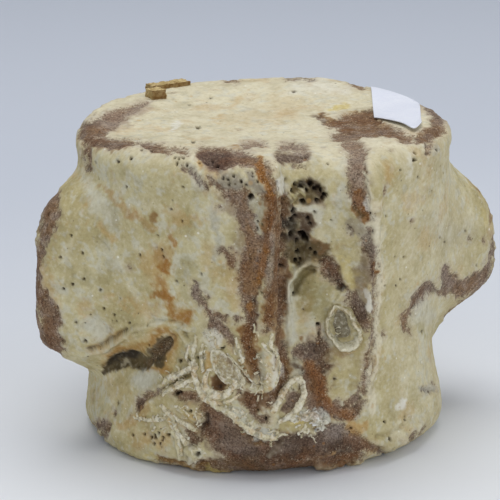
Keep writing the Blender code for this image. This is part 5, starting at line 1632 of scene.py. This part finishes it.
def ring_shares(share, rings_below):
    """Shares for each point of a closed cap from shares for its rings, with none for what is under it."""
    count = share.shape[1]
    return np.concatenate([share[1:].ravel(), np.zeros(rings_below * count), share[0, :1], [0.0]])


def line_mesh(name, lines):
    """A mesh of open lines, each a list of (place, girth)."""
    mesh = bpy.data.meshes.new(name)
    places = [place for line in lines for place, _ in line]
    edges, first = [], 0
    for line in lines:
        edges += [(first + k, first + k + 1) for k in range(len(line) - 1)]
        first += len(line)
    mesh.from_pydata(places, edges, [])
    set_values(mesh, "girth", "FLOAT", "value", np.array([girth for line in lines for _, girth in line]))
    return mesh


worm_tube = tube_tree()
TUBE_SIZES = {
    "Step": 0.00018, "Ring Spacing": 0.0007, "Ring Rise": 0.05, "Roughness": 0.0010, "Lump Size": 0.0013,
    "Mouth Depth": 0.0007, "Finish": shell_finish,
}


def tube_piece(name, lines, base=SHELL_WHITE, nodes=(), **changes):
    """A piece of worm tubes along some lines. The changes are to the tree's usual sizes."""
    mesh = made_by_nodes(name, line_mesh(name + "_route", lines), worm_tube, {**TUBE_SIZES, **changes})
    paint_shell(mesh, base)
    still_piece(name, mesh, nodes=nodes)


# Worm tubes that the photograph shows: how far out as a share of the girth, (x, y, half width) in pixels
HAIRPIN = {
    "arms": (0.45, ((272, 412, 2.4), (276, 405, 3.0), (280, 398, 2.6), (284, 391, 3.0), (289, 384, 2.6),
        (294, 379.5, 2.6), (299, 379.5, 2.8), (302.5, 386, 2.6), (303.5, 394, 2.7), (301, 402, 3.0),
        (297, 409, 3.2), (290, 415.5, 3.0), (282, 420, 2.4), (277, 422, 1.6))),
    "foot": (0.2, ((286, 416, 2), (291, 419, 2.6), (297, 420, 2.4), (302, 417, 1.8))),
}
MOUTH_RIM = {
    "lip": (0.35, ((208, 371, 1.6), (205, 377, 2.6), (205.5, 385, 3.4), (209.5, 391.5, 4.0),
        (216, 395, 4.4), (223.5, 395, 4.2), (229.5, 391.5, 3.4), (234, 386, 2.6), (235.5, 380, 1.8))),
    "inner": (0.2, ((207, 371, 1.4), (213, 369.5, 1.4), (220, 371, 1.4), (226.5, 376, 1.2), (232, 378, 1.2),
        (234, 382, 1))),
    "fold": (0.2, ((203, 391, 1.4), (208, 398, 1.8), (216, 402, 2), (225, 402.5, 1.8), (233, 399, 1.6),
        (240, 394, 1.2))),
}
LONG_RIDGE = {
    "ridge": (0.1, ((197, 336, 1.6), (194, 346, 2.2), (193.5, 358, 2.4), (194, 369, 2.6), (196, 380, 2.8),
        (200.5, 391, 3.0), (208.5, 401, 3.0), (219, 407, 3.0), (229, 412, 3.0), (237, 419, 3.2),
        (246, 427.5, 3.2), (257, 434, 3.0), (268, 438, 2.6), (277, 438.5, 1.8))),
    "beside": (0.15, ((203, 343, 1.4), (201.5, 352, 1.8), (202, 362, 1.8), (204, 371, 1.4))),
    "ribs": (0.25, ((192.5, 367, 2), (185, 371.5, 2.6), (176, 375, 2.8), (168, 379, 2.4), (163, 383, 1.6))),
    "ribs_low": (0.2, ((194, 379.5, 1.6), (186, 382.5, 2.2), (177, 386.5, 2.2), (169, 390.5, 2),
        (163, 395, 1.6))),
    "fork": (0.2, ((161, 405, 2), (167, 411, 2.4), (173, 418, 2.6), (176, 428, 2.4), (181, 437, 2.2),
        (187, 444, 2))),
    "fork_arm": (0.2, ((177, 433, 1.6), (179, 443, 1.8), (181, 455, 1.6))),
    "fan": (0.2, ((137, 417, 1.4), (147, 420, 1.8), (157, 420, 1.8), (167, 418, 2))),
    "lip": (0.2, ((174, 416, 1.8), (181, 421.5, 2.2), (189, 426, 2.2), (197, 430.5, 2))),
    "plate_edge": (0.2, ((273, 333, 1.2), (270.5, 341, 1.6), (273, 350, 1.6), (278, 358, 1.6),
        (279, 370, 1.4), (276, 383, 1.4))),
    "plate_arm": (0.2, ((263, 343, 1.2), (267, 350, 1.4), (272, 354, 1.4))),
    "rib_right": (0.2, ((236, 338, 1.2), (238, 346, 1.5), (241, 355, 1.6), (243, 364, 1.4))),
    "hollow_lip": (0.2, ((190, 345, 1.4), (186, 355, 1.6), (190, 364, 1.6), (197, 367, 1.4))),
}
VALVE_EDGES = {
    "left": (0.3, ((212.5, 351, 0.9), (212.5, 359, 1.2), (215, 368, 1.3), (219.5, 376, 1.3),
        (226, 383, 1.1))),
    "right": (0.5, ((221, 352, 0.7), (227, 357, 0.9), (233, 365, 0.9), (238.5, 373.5, 0.9),
        (243, 381, 0.8))),
    "far": (0.5, ((227, 353, 0.6), (233, 359, 0.8), (240, 367, 0.9), (247, 375.5, 0.9), (253.5, 382, 0.8))),
}


def seen_tubes(table):
    """The routes of a table's tubes over the skin."""
    return [on_skin(line, lift) for lift, line in table.values()]


RIDGE_SIZES = {"Roughness": 0.0014, "Lump Size": 0.0016}
EDGE_SIZES = {"Roughness": 0.0004, "Step": 0.00015}
tube_piece("hairpin_tube", seen_tubes(HAIRPIN), PALE, ("worm_tube_hairpin",), **{"Roughness": 0.0011})
tube_piece("mouth_rim", seen_tubes(MOUTH_RIM), nodes=("worm_tube_coil",), **{"Roughness": 0.0008})
tube_piece("long_ridge", seen_tubes(LONG_RIDGE), nodes=("worm_tube_creeping",), **RIDGE_SIZES)
tube_piece("valve_edges", seen_tubes(VALVE_EDGES), linear(226, 222, 206), **EDGE_SIZES)

# Where fine crusty threads grow: how many, line of (x, y, half width) in pixels
THREADS = {
    "frill": (46, ((228, 408, 4), (238, 413, 5), (248, 422, 6), (258, 430, 6), (269, 436, 5),
        (278, 437, 3))),
    "join": (16, ((242, 386, 4), (252, 389, 5), (262, 389, 5))),
    "plate": (22, ((258, 335, 4), (262, 353, 6), (266, 370, 8), (270, 383, 6))),
    "white_lump": (80, ((301, 418, 3.4), (309, 415, 4.5), (317, 419, 4.5), (320, 424, 2.6))),
    "low_patch": (14, ((301, 430, 5), (312, 432, 5))),
    "left_mass": (34, ((168, 382, 6), (182, 378, 8), (196, 372, 6), (202, 388, 5))),
    "knob": (16, ((211, 334, 5), (214, 343, 6), (204, 352, 5))),
    "fan": (26, ((140, 418, 4), (155, 420, 5), (170, 424, 6), (184, 440, 7), (196, 452, 8))),
    "shelf": (12, ((181, 406, 5), (191, 411, 7), (200, 419, 5))),
    "hairpin": (10, ((276, 405, 4), (284, 394, 4), (292, 384, 4))),
    "rib": (10, ((238, 345, 4), (243, 364, 4), (250, 374, 4))),
}
draws = np.random.default_rng(23)


def thread(line):
    """One short rough thread that starts somewhere on a line's width and wanders."""
    x, y, half = (float(value) for value in line[draws.integers(len(line))])
    start, length = draws.uniform(-half, half, 2), draws.integers(4, 9)
    heading = draws.uniform(0, 2 * np.pi) + np.cumsum(draws.normal(0.0, 0.5, length))
    steps = np.stack([np.cos(heading), np.sin(heading)], -1) * draws.uniform(0.7, 1.4)
    places = np.cumsum(steps, axis=0) + start + (x, y)
    girth = draws.uniform(0.5, 1.15)
    return on_skin([(*place, girth) for place in places.tolist()], draws.uniform(-0.1, 0.7), 2)


THREAD_SIZES = {"Roughness": 0.0008, "Lump Size": 0.0009, "Mouth Depth": 0.0003}
threads = {name: [thread(line) for _ in range(count)] for name, (count, line) in THREADS.items()}
tube_piece("white_lump", threads.pop("white_lump"), linear(234, 236, 238), **THREAD_SIZES)
tube_piece("crusty_threads", sum(threads.values(), []), PALE, **THREAD_SIZES)

SMALL_TUBES, SMALL_TUBE_POINTS = 16, 22
SMALL_TUBE_ANGLES, SMALL_TUBE_LOW, SMALL_TUBE_HIGH = (118.0, 226.0), (0.008, 0.020), (0.050, 0.064)
SMALL_TUBE_SIZES = {"Step": 0.00035, "Mouth Depth": 0.0006}
USUAL_RADIUS = 0.046  # the bone's, where the small tubes are


def small_tube():
    """One small worm tube that wanders over a side that the photograph doesn't show."""
    start = draws.uniform(*SMALL_TUBE_ANGLES)
    level = draws.choice([draws.uniform(*SMALL_TUBE_LOW), draws.uniform(*SMALL_TUBE_HIGH)])
    heading = draws.uniform(0, 2 * np.pi) + np.cumsum(draws.normal(0.0, 0.30, SMALL_TUBE_POINTS))
    step = draws.uniform(0.0004, 0.0008)
    levels = np.clip(level + np.cumsum(np.sin(heading)) * step, 0.006, 0.066)
    angles = start + np.degrees(np.cumsum(np.cos(heading)) * step / USUAL_RADIUS)
    girth = draws.uniform(0.0005, 0.0009)
    outside = on_side(angles, levels, 0.010)
    inward = np.stack([-np.sin(np.radians(angles)), np.cos(np.radians(angles)), 0 * angles], -1)
    sights = zip(outside.tolist(), inward.tolist())
    found = [form_tree.ray_cast(Vector(place), Vector(way)) for place, way in sights]
    places = np.array([hit + out * (girth * 0.3 + 0.00025) for hit, out, *_ in found])
    places[1:-1] = (places[:-2] + 2 * places[1:-1] + places[2:]) / 4
    return list(zip(places.tolist(), (girth * np.linspace(0.55, 1.0, SMALL_TUBE_POINTS)).tolist()))


tube_piece("small_tubes", [small_tube() for _ in range(SMALL_TUBES)], **SMALL_TUBE_SIZES)


def closed_cap(name, rings):
    """A closed mesh from rings of places: the first shrinks to a point on top, and a fan closes the last."""
    shape = bmesh.new()
    loops = [[shape.verts.new(place) for place in ring] for ring in rings[1:].tolist()]
    top = shape.verts.new(rings[0].mean(axis=0).tolist())
    bottom = shape.verts.new(rings[-1].mean(axis=0).tolist())
    count = len(loops[0])
    for k in range(count):
        shape.faces.new((top, loops[0][k], loops[0][(k + 1) % count]))
        shape.faces.new((bottom, loops[-1][(k + 1) % count], loops[-1][k]))
    for inner, outer in zip(loops, loops[1:]):
        for k in range(count):
            shape.faces.new((inner[k], outer[k], outer[(k + 1) % count], inner[(k + 1) % count]))
    bmesh.ops.recalc_face_normals(shape, faces=shape.faces)
    return smooth_mesh(name, shape, shell_finish)


def reach_at(outline, middle, turns):
    """How far an outline of pixels lies from its middle at each of some turns."""
    away = np.array(outline, float) - middle
    around, reach = np.arctan2(away[:, 1], away[:, 0]), np.hypot(*away.T)
    order = np.argsort(around)
    return np.interp(turns, around[order], reach[order], period=2 * np.pi)


def crater_field(turns, shares, outlines, middle):
    """A crater's pixels, and their flat places in mm. Shares 0 to 1 lie inside its first outline, 1 to 2
    before the second, and so on."""
    reaches = np.array([np.zeros_like(turns)] + [reach_at(outline, middle, turns) for outline in outlines])
    step = np.clip(np.floor(shares).astype(int), 0, len(outlines) - 1)
    part = (shares - step)[:, None]
    reach = reaches[step] * (1 - part) + reaches[step + 1] * part
    x, y = middle[0] + reach * np.cos(turns), middle[1] + reach * np.sin(turns)
    return x, y, np.stack([x * PIXEL / MM, y * PIXEL / MM, 0 * x], -1).reshape(-1, 3)


BARNACLE_MIDDLE = np.array([342.5, 328.0])
BARNACLE_INNER = (
    (338, 311), (334.5, 317), (331.5, 323), (331.3, 328), (333.6, 332.5), (337.5, 338), (344.5, 340.5),
    (350.6, 338), (350.8, 332), (349.7, 327), (346.8, 321), (343.8, 314),
)
BARNACLE_RIM = (
    (334.7, 305.5), (330.2, 314), (327.6, 321), (327, 327), (328.4, 332.5), (332.4, 338.5), (337, 344),
    (343, 349.5), (352, 349), (357.2, 345), (360.5, 340), (361.4, 334), (359, 329), (355.4, 324),
    (352, 317), (349, 311), (344, 308.5), (340, 306.5),
)
BARNACLE_FOOT = (
    (333, 302), (326, 312), (323.4, 321), (322.6, 328), (324.4, 335), (329, 342), (335, 348.5),
    (342.5, 354), (353.5, 353.5), (360.5, 348.5), (364.8, 341), (365.4, 333), (362.4, 326.5), (358.5, 321),
    (355, 314), (351.5, 307.5), (345, 304.5), (339.5, 302),
)
BARNACLE_DEPTH, BARNACLE_HEIGHT = -1.3, 1.7  # mm over the ground
BARNACLE_BREAKS = (
    (-2.5, 0.14, 1.1), (-1.9, 0.10, 0.6), (-0.7, 0.12, 0.9), (0.35, 0.10, 0.8), (2.5, 0.10, 0.6),
)
BARNACLE_PIT, BARNACLE_HOLE = (337.5, 331.7, 3.2), (356.0, 331.8, 2.3)  # x, y, radius in pixels


def barnacle():
    """A barnacle's broken wall: a pear-shaped cup, thin on its left, with a broad pale slope below. Its
    colours hold painted shade in the groove round its inner pit and a painted shadow on the foot under it.
    """
    turns = np.linspace(-np.pi, np.pi, 150, endpoint=False)
    shares = np.concatenate([np.linspace(0, 1, 22), np.linspace(1.07, 2, 14), np.linspace(2.1, 3, 9)])
    outlines = (BARNACLE_INNER, BARNACLE_RIM, BARNACLE_FOOT)
    x, y, flat_places = crater_field(turns, shares, outlines, BARNACLE_MIDDLE)
    share = shares[:, None] + 0 * turns
    rough = (0.16 * noise(flat_places, 1.3, 111) + 0.11 * noise(flat_places, 0.5, 112)).reshape(x.shape)
    inside, crest = smoothstep(0.85, 1.9, share), 1 - smoothstep(2.0, 3.0, share)
    plates = 0.30 * np.sin(3 * turns + 2.6) + 0.22 * np.sin(5 * turns + 0.8) + 0.12 * np.sin(13 * turns)
    plates -= sum(depth * bump(turns - at, wide) for at, wide, depth in BARNACLE_BREAKS)
    worn = (0.5 * np.sin(7 * turns + 1.3) + 0.4 * np.sin(16 * turns)) * bump(share - 2.0, 0.7)
    x, y = x + worn * np.cos(turns), y + worn * np.sin(turns)
    raised = BARNACLE_DEPTH + (BARNACLE_HEIGHT - BARNACLE_DEPTH + plates) * inside
    raised = -0.7 + (raised + 0.7) * crest + rough * (0.4 + 0.6 * inside) * smoothstep(3.0, 2.6, share)
    raised += 0.05 * np.sin(44 * turns) * inside * crest
    ring = np.hypot(x - BARNACLE_PIT[0], y - BARNACLE_PIT[1])
    opening = 1 - bump(np.arctan2(y - BARNACLE_PIT[1], x - BARNACLE_PIT[0]), 0.7)
    groove = bump(ring - BARNACLE_PIT[2], 1.1) * opening
    hole_reach = np.hypot(x - BARNACLE_HOLE[0], (y - BARNACLE_HOLE[1]) * 0.7)
    hole = 1 - smoothstep(0.5, 1.25, hole_reach / BARNACLE_HOLE[2])
    raised -= 0.15 * groove + 1.5 * hole
    place_of = ground(BARNACLE_FOOT)
    buried = place_of(x[-1], y[-1], -1.4)[None]
    mesh = closed_cap("barnacle_crater", np.concatenate([place_of(x, y, raised), buried]))

    below = smoothstep(-0.1, 0.7, np.sin(turns)) + 0 * share
    low = smoothstep(0.0, 0.8, np.sin(turns)) * inside
    marks = (
        (linear(136, 128, 108), 0.92 * (1 - smoothstep(0.95, 1.35, share))),
        (linear(214, 210, 186), 0.85 * low * (1 - smoothstep(2.0, 2.2, share))),
        (PALE, 0.75 * bump(share - 1.95, 0.25)),
        (OLIVE_CREAM, 0.85 * smoothstep(2.15, 2.7, share)),
        # Painted shadow: ochre-brown on the foot, on the side below the barnacle
        (linear(176, 142, 88), 0.75 * smoothstep(2.3, 2.9, share) * below),
        # Painted shade: the dark line in the groove round the inner pit
        (linear(56, 42, 28), 0.95 * groove),
        (linear(84, 76, 50), 0.95 * hole),
    )
    marks = [(colour, ring_shares(part, 1)) for colour, part in marks]
    paint_shell(mesh, GREENISH * 0.4 + OLIVE_CREAM * 0.6, marks)
    still_piece("barnacle_crater", mesh, nodes=("barnacle_wall",))


barnacle()

VALVE_MIDDLE = np.array([227.0, 367.0])
VALVE_OUTLINE = (
    (212, 349), (210.8, 356), (213.5, 366), (218.5, 375), (226, 382.5), (236, 388), (244, 387), (246, 382),
    (241, 373), (234, 364), (226.5, 355.5), (219, 349.5),
)


def oyster_valve():
    """One thin leaf-shaped valve with growth lines round it, cemented to the bone."""
    turns, shares = np.linspace(-np.pi, np.pi, 120, endpoint=False), np.linspace(0, 1, 34)
    x, y, flat_places = crater_field(turns, shares, (VALVE_OUTLINE,), VALVE_MIDDLE)
    share = shares[:, None] + 0 * turns
    rough = (0.14 * noise(flat_places, 1.3, 121) + 0.07 * noise(flat_places, 0.5, 122)).reshape(x.shape)
    hollow_side = bump(turns + 0.9, 0.9) * bump(share - 0.62, 0.3)
    raised = 0.55 + 0.5 * (1 - share**2) + 0.06 * np.sin(share * 40) + rough - 0.5 * hollow_side
    place_of = ground(VALVE_OUTLINE)
    under = [place_of(x[-1], y[-1], low) for low in (-0.2, -0.9)]
    mesh = closed_cap("oyster_valve", np.concatenate([place_of(x, y, raised), np.stack(under)]))
    marks = (
        (PURPLE_BROWN, 0.9 * hollow_side),
        (linear(168, 152, 116), 0.7 * bump(share - 0.4, 0.25)),
        (PALE, 0.7 * smoothstep(0.85, 1.0, share)),
    )
    paint_shell(mesh, linear(190, 181, 152), [(colour, ring_shares(part, 2)) for colour, part in marks])
    still_piece("oyster_valve", mesh, nodes=("shell_valve",))


oyster_valve()

# -------------------------------- the loose chip and the paper label

def chip_stone():
    """Rough olive-brown scrap with orange flecks, and painted shade in dark orange-brown on the faces that
    turn towards the front.
    """
    made, wires, place, shader = new_material("chip_stone")
    coarse, fine, finer = grain(place, 0.0030, 4.0), grain(place, 0.0009, 4.0), grain(place, 0.0003, 3.0)
    tone = coarse.step(0.40, 0.60).mix(linear(176, 152, 100), linear(206, 184, 134))
    tone = (fine.step(0.48, 0.62) * 0.7).mix(tone, linear(120, 84, 42))
    tone = (finer.step(0.56, 0.68) * 0.5).mix(tone, linear(212, 196, 150))
    # Painted shade on the faces that turn towards the front
    face = attribute(wires, "broken")
    tone = (face * (fine * 0.6 + 0.40)).mix(tone, linear(112, 78, 38))
    finish(shader, tone, fine * 0.2 + 0.72, fine * 0.7 + finer * 0.4, 0.00025)
    return made


def worn_box(shape, size, pixel, turn, sunk):
    """Adds a block that stands on the skin at a pixel, sunk a little and turned about +Z, to a shape."""
    place = seen(skin_tree, *pixel)[0]
    cosine, sine = math.cos(turn), math.sin(turn)
    for vert in bmesh.ops.create_cube(shape, size=1.0)["verts"]:
        x, y, z = (vert.co[k] * size[k] for k in range(3))
        vert.co = place + Vector((cosine * x - sine * y, sine * x + cosine * y, z + size[2] / 2 - sunk))


# Each block of the chip: size, pixel that it stands on, turn about +Z, how far it is sunk
CHIP_SLAB = (0.0118, 0.0040, 0.0016), (168.0, 86.0), math.radians(16.0), 0.0003
CHIP_BLOCK = (0.0042, 0.0042, 0.0029), (156.0, 97.0), math.radians(8.0), 0.0006
CHIP_VOXEL = 0.00022
CHIP_FRONT = np.array([0.25, 0.95, 0.25])  # away from the faces that get painted shade


def loose_chip():
    """The scrap on the upper rim: a slab joined to a block, broken rough all over."""
    shape = bmesh.new()
    worn_box(shape, *CHIP_SLAB)
    worn_box(shape, *CHIP_BLOCK)
    blocks = placed("chip_blocks", smooth_mesh("chip_blocks", shape))
    joined = blocks.modifiers.new("joined", "REMESH")
    joined.mode = "VOXEL"
    joined.voxel_size = CHIP_VOXEL
    mesh = baked_mesh(blocks, "chip")
    places, facing = point_values(mesh.vertices, "co"), point_values(mesh.vertex_normals, "vector")
    push = 0.42 * layered(places / MM, 3.2, 131, 3) + 0.16 * noise(places / MM, 0.8, 135)
    lump, number = cells(places / MM, 1.5, 137)
    push = push + 0.30 * (0.4 - lump) * number - 0.12
    front = np.clip(-(facing @ CHIP_FRONT), 0.0, 1.0)
    mesh.vertices.foreach_set("co", (places + facing * push[:, None] * MM).astype(np.float32).ravel())
    mesh.update()
    mesh.shade_smooth()
    # How far each face turns towards the front: the painted shade of chip_stone
    set_values(mesh, "broken", "FLOAT", "value", smoothstep(0.2, 0.8, front))
    mesh.materials.clear()
    mesh.materials.append(chip_stone())
    still_piece("chip", mesh, ("loose_chip",))


loose_chip()


def label_paper():
    """Plain matt label paper, a little bluish, with faint fibres."""
    made, _, place, shader = new_material("label_paper")
    fibres, cloud = grain(place, 0.0006, 3.0, distortion=1.5), grain(place, 0.0090, 2.0)
    paleness = fibres.step(0.35, 0.65) * 0.5 + cloud.step(0.4, 0.6) * 0.3
    tone = paleness.mix(linear(224, 227, 240), linear(238, 240, 248))
    finish(shader, tone, fibres * 0.1 + 0.5, fibres, 0.00003)
    return made


LABEL_THICKNESS, LABEL_LIFT, LABEL_CURL, LABEL_WAVE = 0.00016, 0.35, 0.8, 0.12  # m, then mm
LABEL_POINTS, LABEL_SMOOTHINGS = (34, 30), 14
# The label's edges in pixels: share of the way across it, x, y
LABEL_FAR = ((0, 371, 88), (1, 419, 92.5))
LABEL_NEAR = ((0, 374, 120), (0.4, 393, 123.5), (0.68, 407, 128.5), (0.86, 415, 135), (1, 421.5, 127))


def edge_place(edge, u):
    """The pixel on an edge of the label at a share of the way across it."""
    return np.array([through([(row[0], row[k]) for row in edge], u) for k in (1, 2)])


def paper_label():
    """The strip of label: laid over the upper face, its near edge bowed and standing up."""
    shape = bmesh.new()
    us, vs = np.linspace(0, 1, LABEL_POINTS[0]), np.linspace(-0.06, 1, LABEL_POINTS[1])
    far, near = (np.array([edge_place(edge, u) for u in us]) for edge in (LABEL_FAR, LABEL_NEAR))
    pixels = far * (1 - vs[:, None, None]) + near * vs[:, None, None]
    places = np.array([[np.array(seen(skin_tree, *pixel)[0]) for pixel in row] for row in pixels])
    for _ in range(LABEL_SMOOTHINGS):
        places[1:-1] = (places[:-2] + 2 * places[1:-1] + places[2:]) / 4
        places[:, 1:-1] = (places[:, :-2] + 2 * places[:, 1:-1] + places[:, 2:]) / 4
    u, v = us[None, :], vs[:, None]
    curl = LABEL_CURL * smoothstep(0.7, 1.0, v) * (0.25 + u)
    places[..., 2] += (LABEL_LIFT + curl + LABEL_WAVE * np.sin(9 * v + 3 * u)) * MM
    verts = [[shape.verts.new(place) for place in row] for row in places.tolist()]
    for above, below in zip(verts, verts[1:]):
        for k in range(len(us) - 1):
            shape.faces.new((above[k], below[k], below[k + 1], above[k + 1]))
    bmesh.ops.recalc_face_normals(shape, faces=shape.faces)
    mesh = smooth_mesh("label", shape, label_paper())
    strip = still_piece("label", mesh, ("paper_label",))
    wall = strip.modifiers.new("paper", "SOLIDIFY")
    wall.thickness = LABEL_THICKNESS
    wall.offset = 0.0


paper_label()

# -------------------------------- floor, light and camera

SWEEP_HALF, SWEEP_BACK, SWEEP_BEND = 2.5, 1.5, 0.5  # half width, where the wall rises, its bend's radius
BONE_MIDDLE = (0.0, 0.0, 0.04)
WARM, COOL = (1.0, 0.99, 0.97), (0.98, 0.99, 1.0)
# Soft round lights that face the bone: place, size, power, colour
LIGHTS = {
    "overhead_light": ((0.0, 0.16, 1.10), 0.90, 6.4, WARM),
    "right_fill": ((1.2, -0.8, 0.8), 2.2, 5.2, COOL),
    "left_fill": ((-1.2, -1.0, 0.8), 2.2, 4.4, COOL),
    "front_fill": ((0.1, -1.4, 0.25), 0.9, 3.2, (1.0, 0.99, 0.98)),
}
AIR_COLOUR, AIR_STRENGTH = (0.90, 0.95, 1.0, 1.0), 0.385
SENSOR_WIDTH = 36.0


def studio_paper():
    """Plain paper with painted shade, darker and a little bluer away from the bone."""
    made, wires, place, shader = new_material("studio_paper")
    distance = wires.node("ShaderNodeSeparateXYZ", inputs={0: place}, output="Y").step(-0.15, 0.30)
    paper = distance.mix(linear(236, 238, 242), linear(203, 208, 219))
    made.node_tree.links.new(paper.socket, shader.inputs["Base Color"])
    shader.inputs["Roughness"].default_value = 0.8
    shader.inputs["Specular IOR Level"].default_value = 0.15
    return made


def studio():
    """A pale sweep, soft lights and the photograph's camera."""
    bend = [(math.sin(t), 1 - math.cos(t)) for t in np.linspace(0.1, math.pi / 2, 12)]
    profile = [(-SWEEP_HALF, 0.0), (SWEEP_BACK, 0.0)]
    profile += [(SWEEP_BACK + SWEEP_BEND * out, SWEEP_BEND * up) for out, up in bend]
    profile.append((SWEEP_BACK + SWEEP_BEND, 2.0))
    shape = bmesh.new()
    left, right = ([shape.verts.new((x, y, z)) for y, z in profile] for x in (-SWEEP_HALF, SWEEP_HALF))
    for k in range(len(profile) - 1):
        shape.faces.new((left[k], right[k], right[k + 1], left[k + 1]))
    placed("studio_sweep", smooth_mesh("studio_sweep", shape, studio_paper()))

    for name, (place, size, power, colour) in LIGHTS.items():
        data = bpy.data.lights.new(name, "AREA")
        data.shape = "DISK"
        data.size, data.energy, data.color = size, power, colour
        light = placed(name, data)
        light.location = place
        light.rotation_euler = (Vector(BONE_MIDDLE) - Vector(place)).to_track_quat("-Z", "Y").to_euler()
    world = bpy.data.worlds.new("studio_air")
    world.use_nodes = True
    world.node_tree.nodes["Background"].inputs["Color"].default_value = AIR_COLOUR
    world.node_tree.nodes["Background"].inputs["Strength"].default_value = AIR_STRENGTH
    bpy.context.scene.world = world

    lens = bpy.data.cameras.new("camera")
    lens.sensor_width = SENSOR_WIDTH
    lens.lens = SENSOR_WIDTH * FOCAL_PIXELS / FRAME_SIDE
    camera = placed("camera", lens)
    camera.location = CAMERA_PLACE
    camera.rotation_euler = Vector(LOOK).to_track_quat("-Z", "Y").to_euler()
    bpy.context.scene.camera = camera
    bpy.context.scene.view_settings.view_transform = "Standard"


studio()
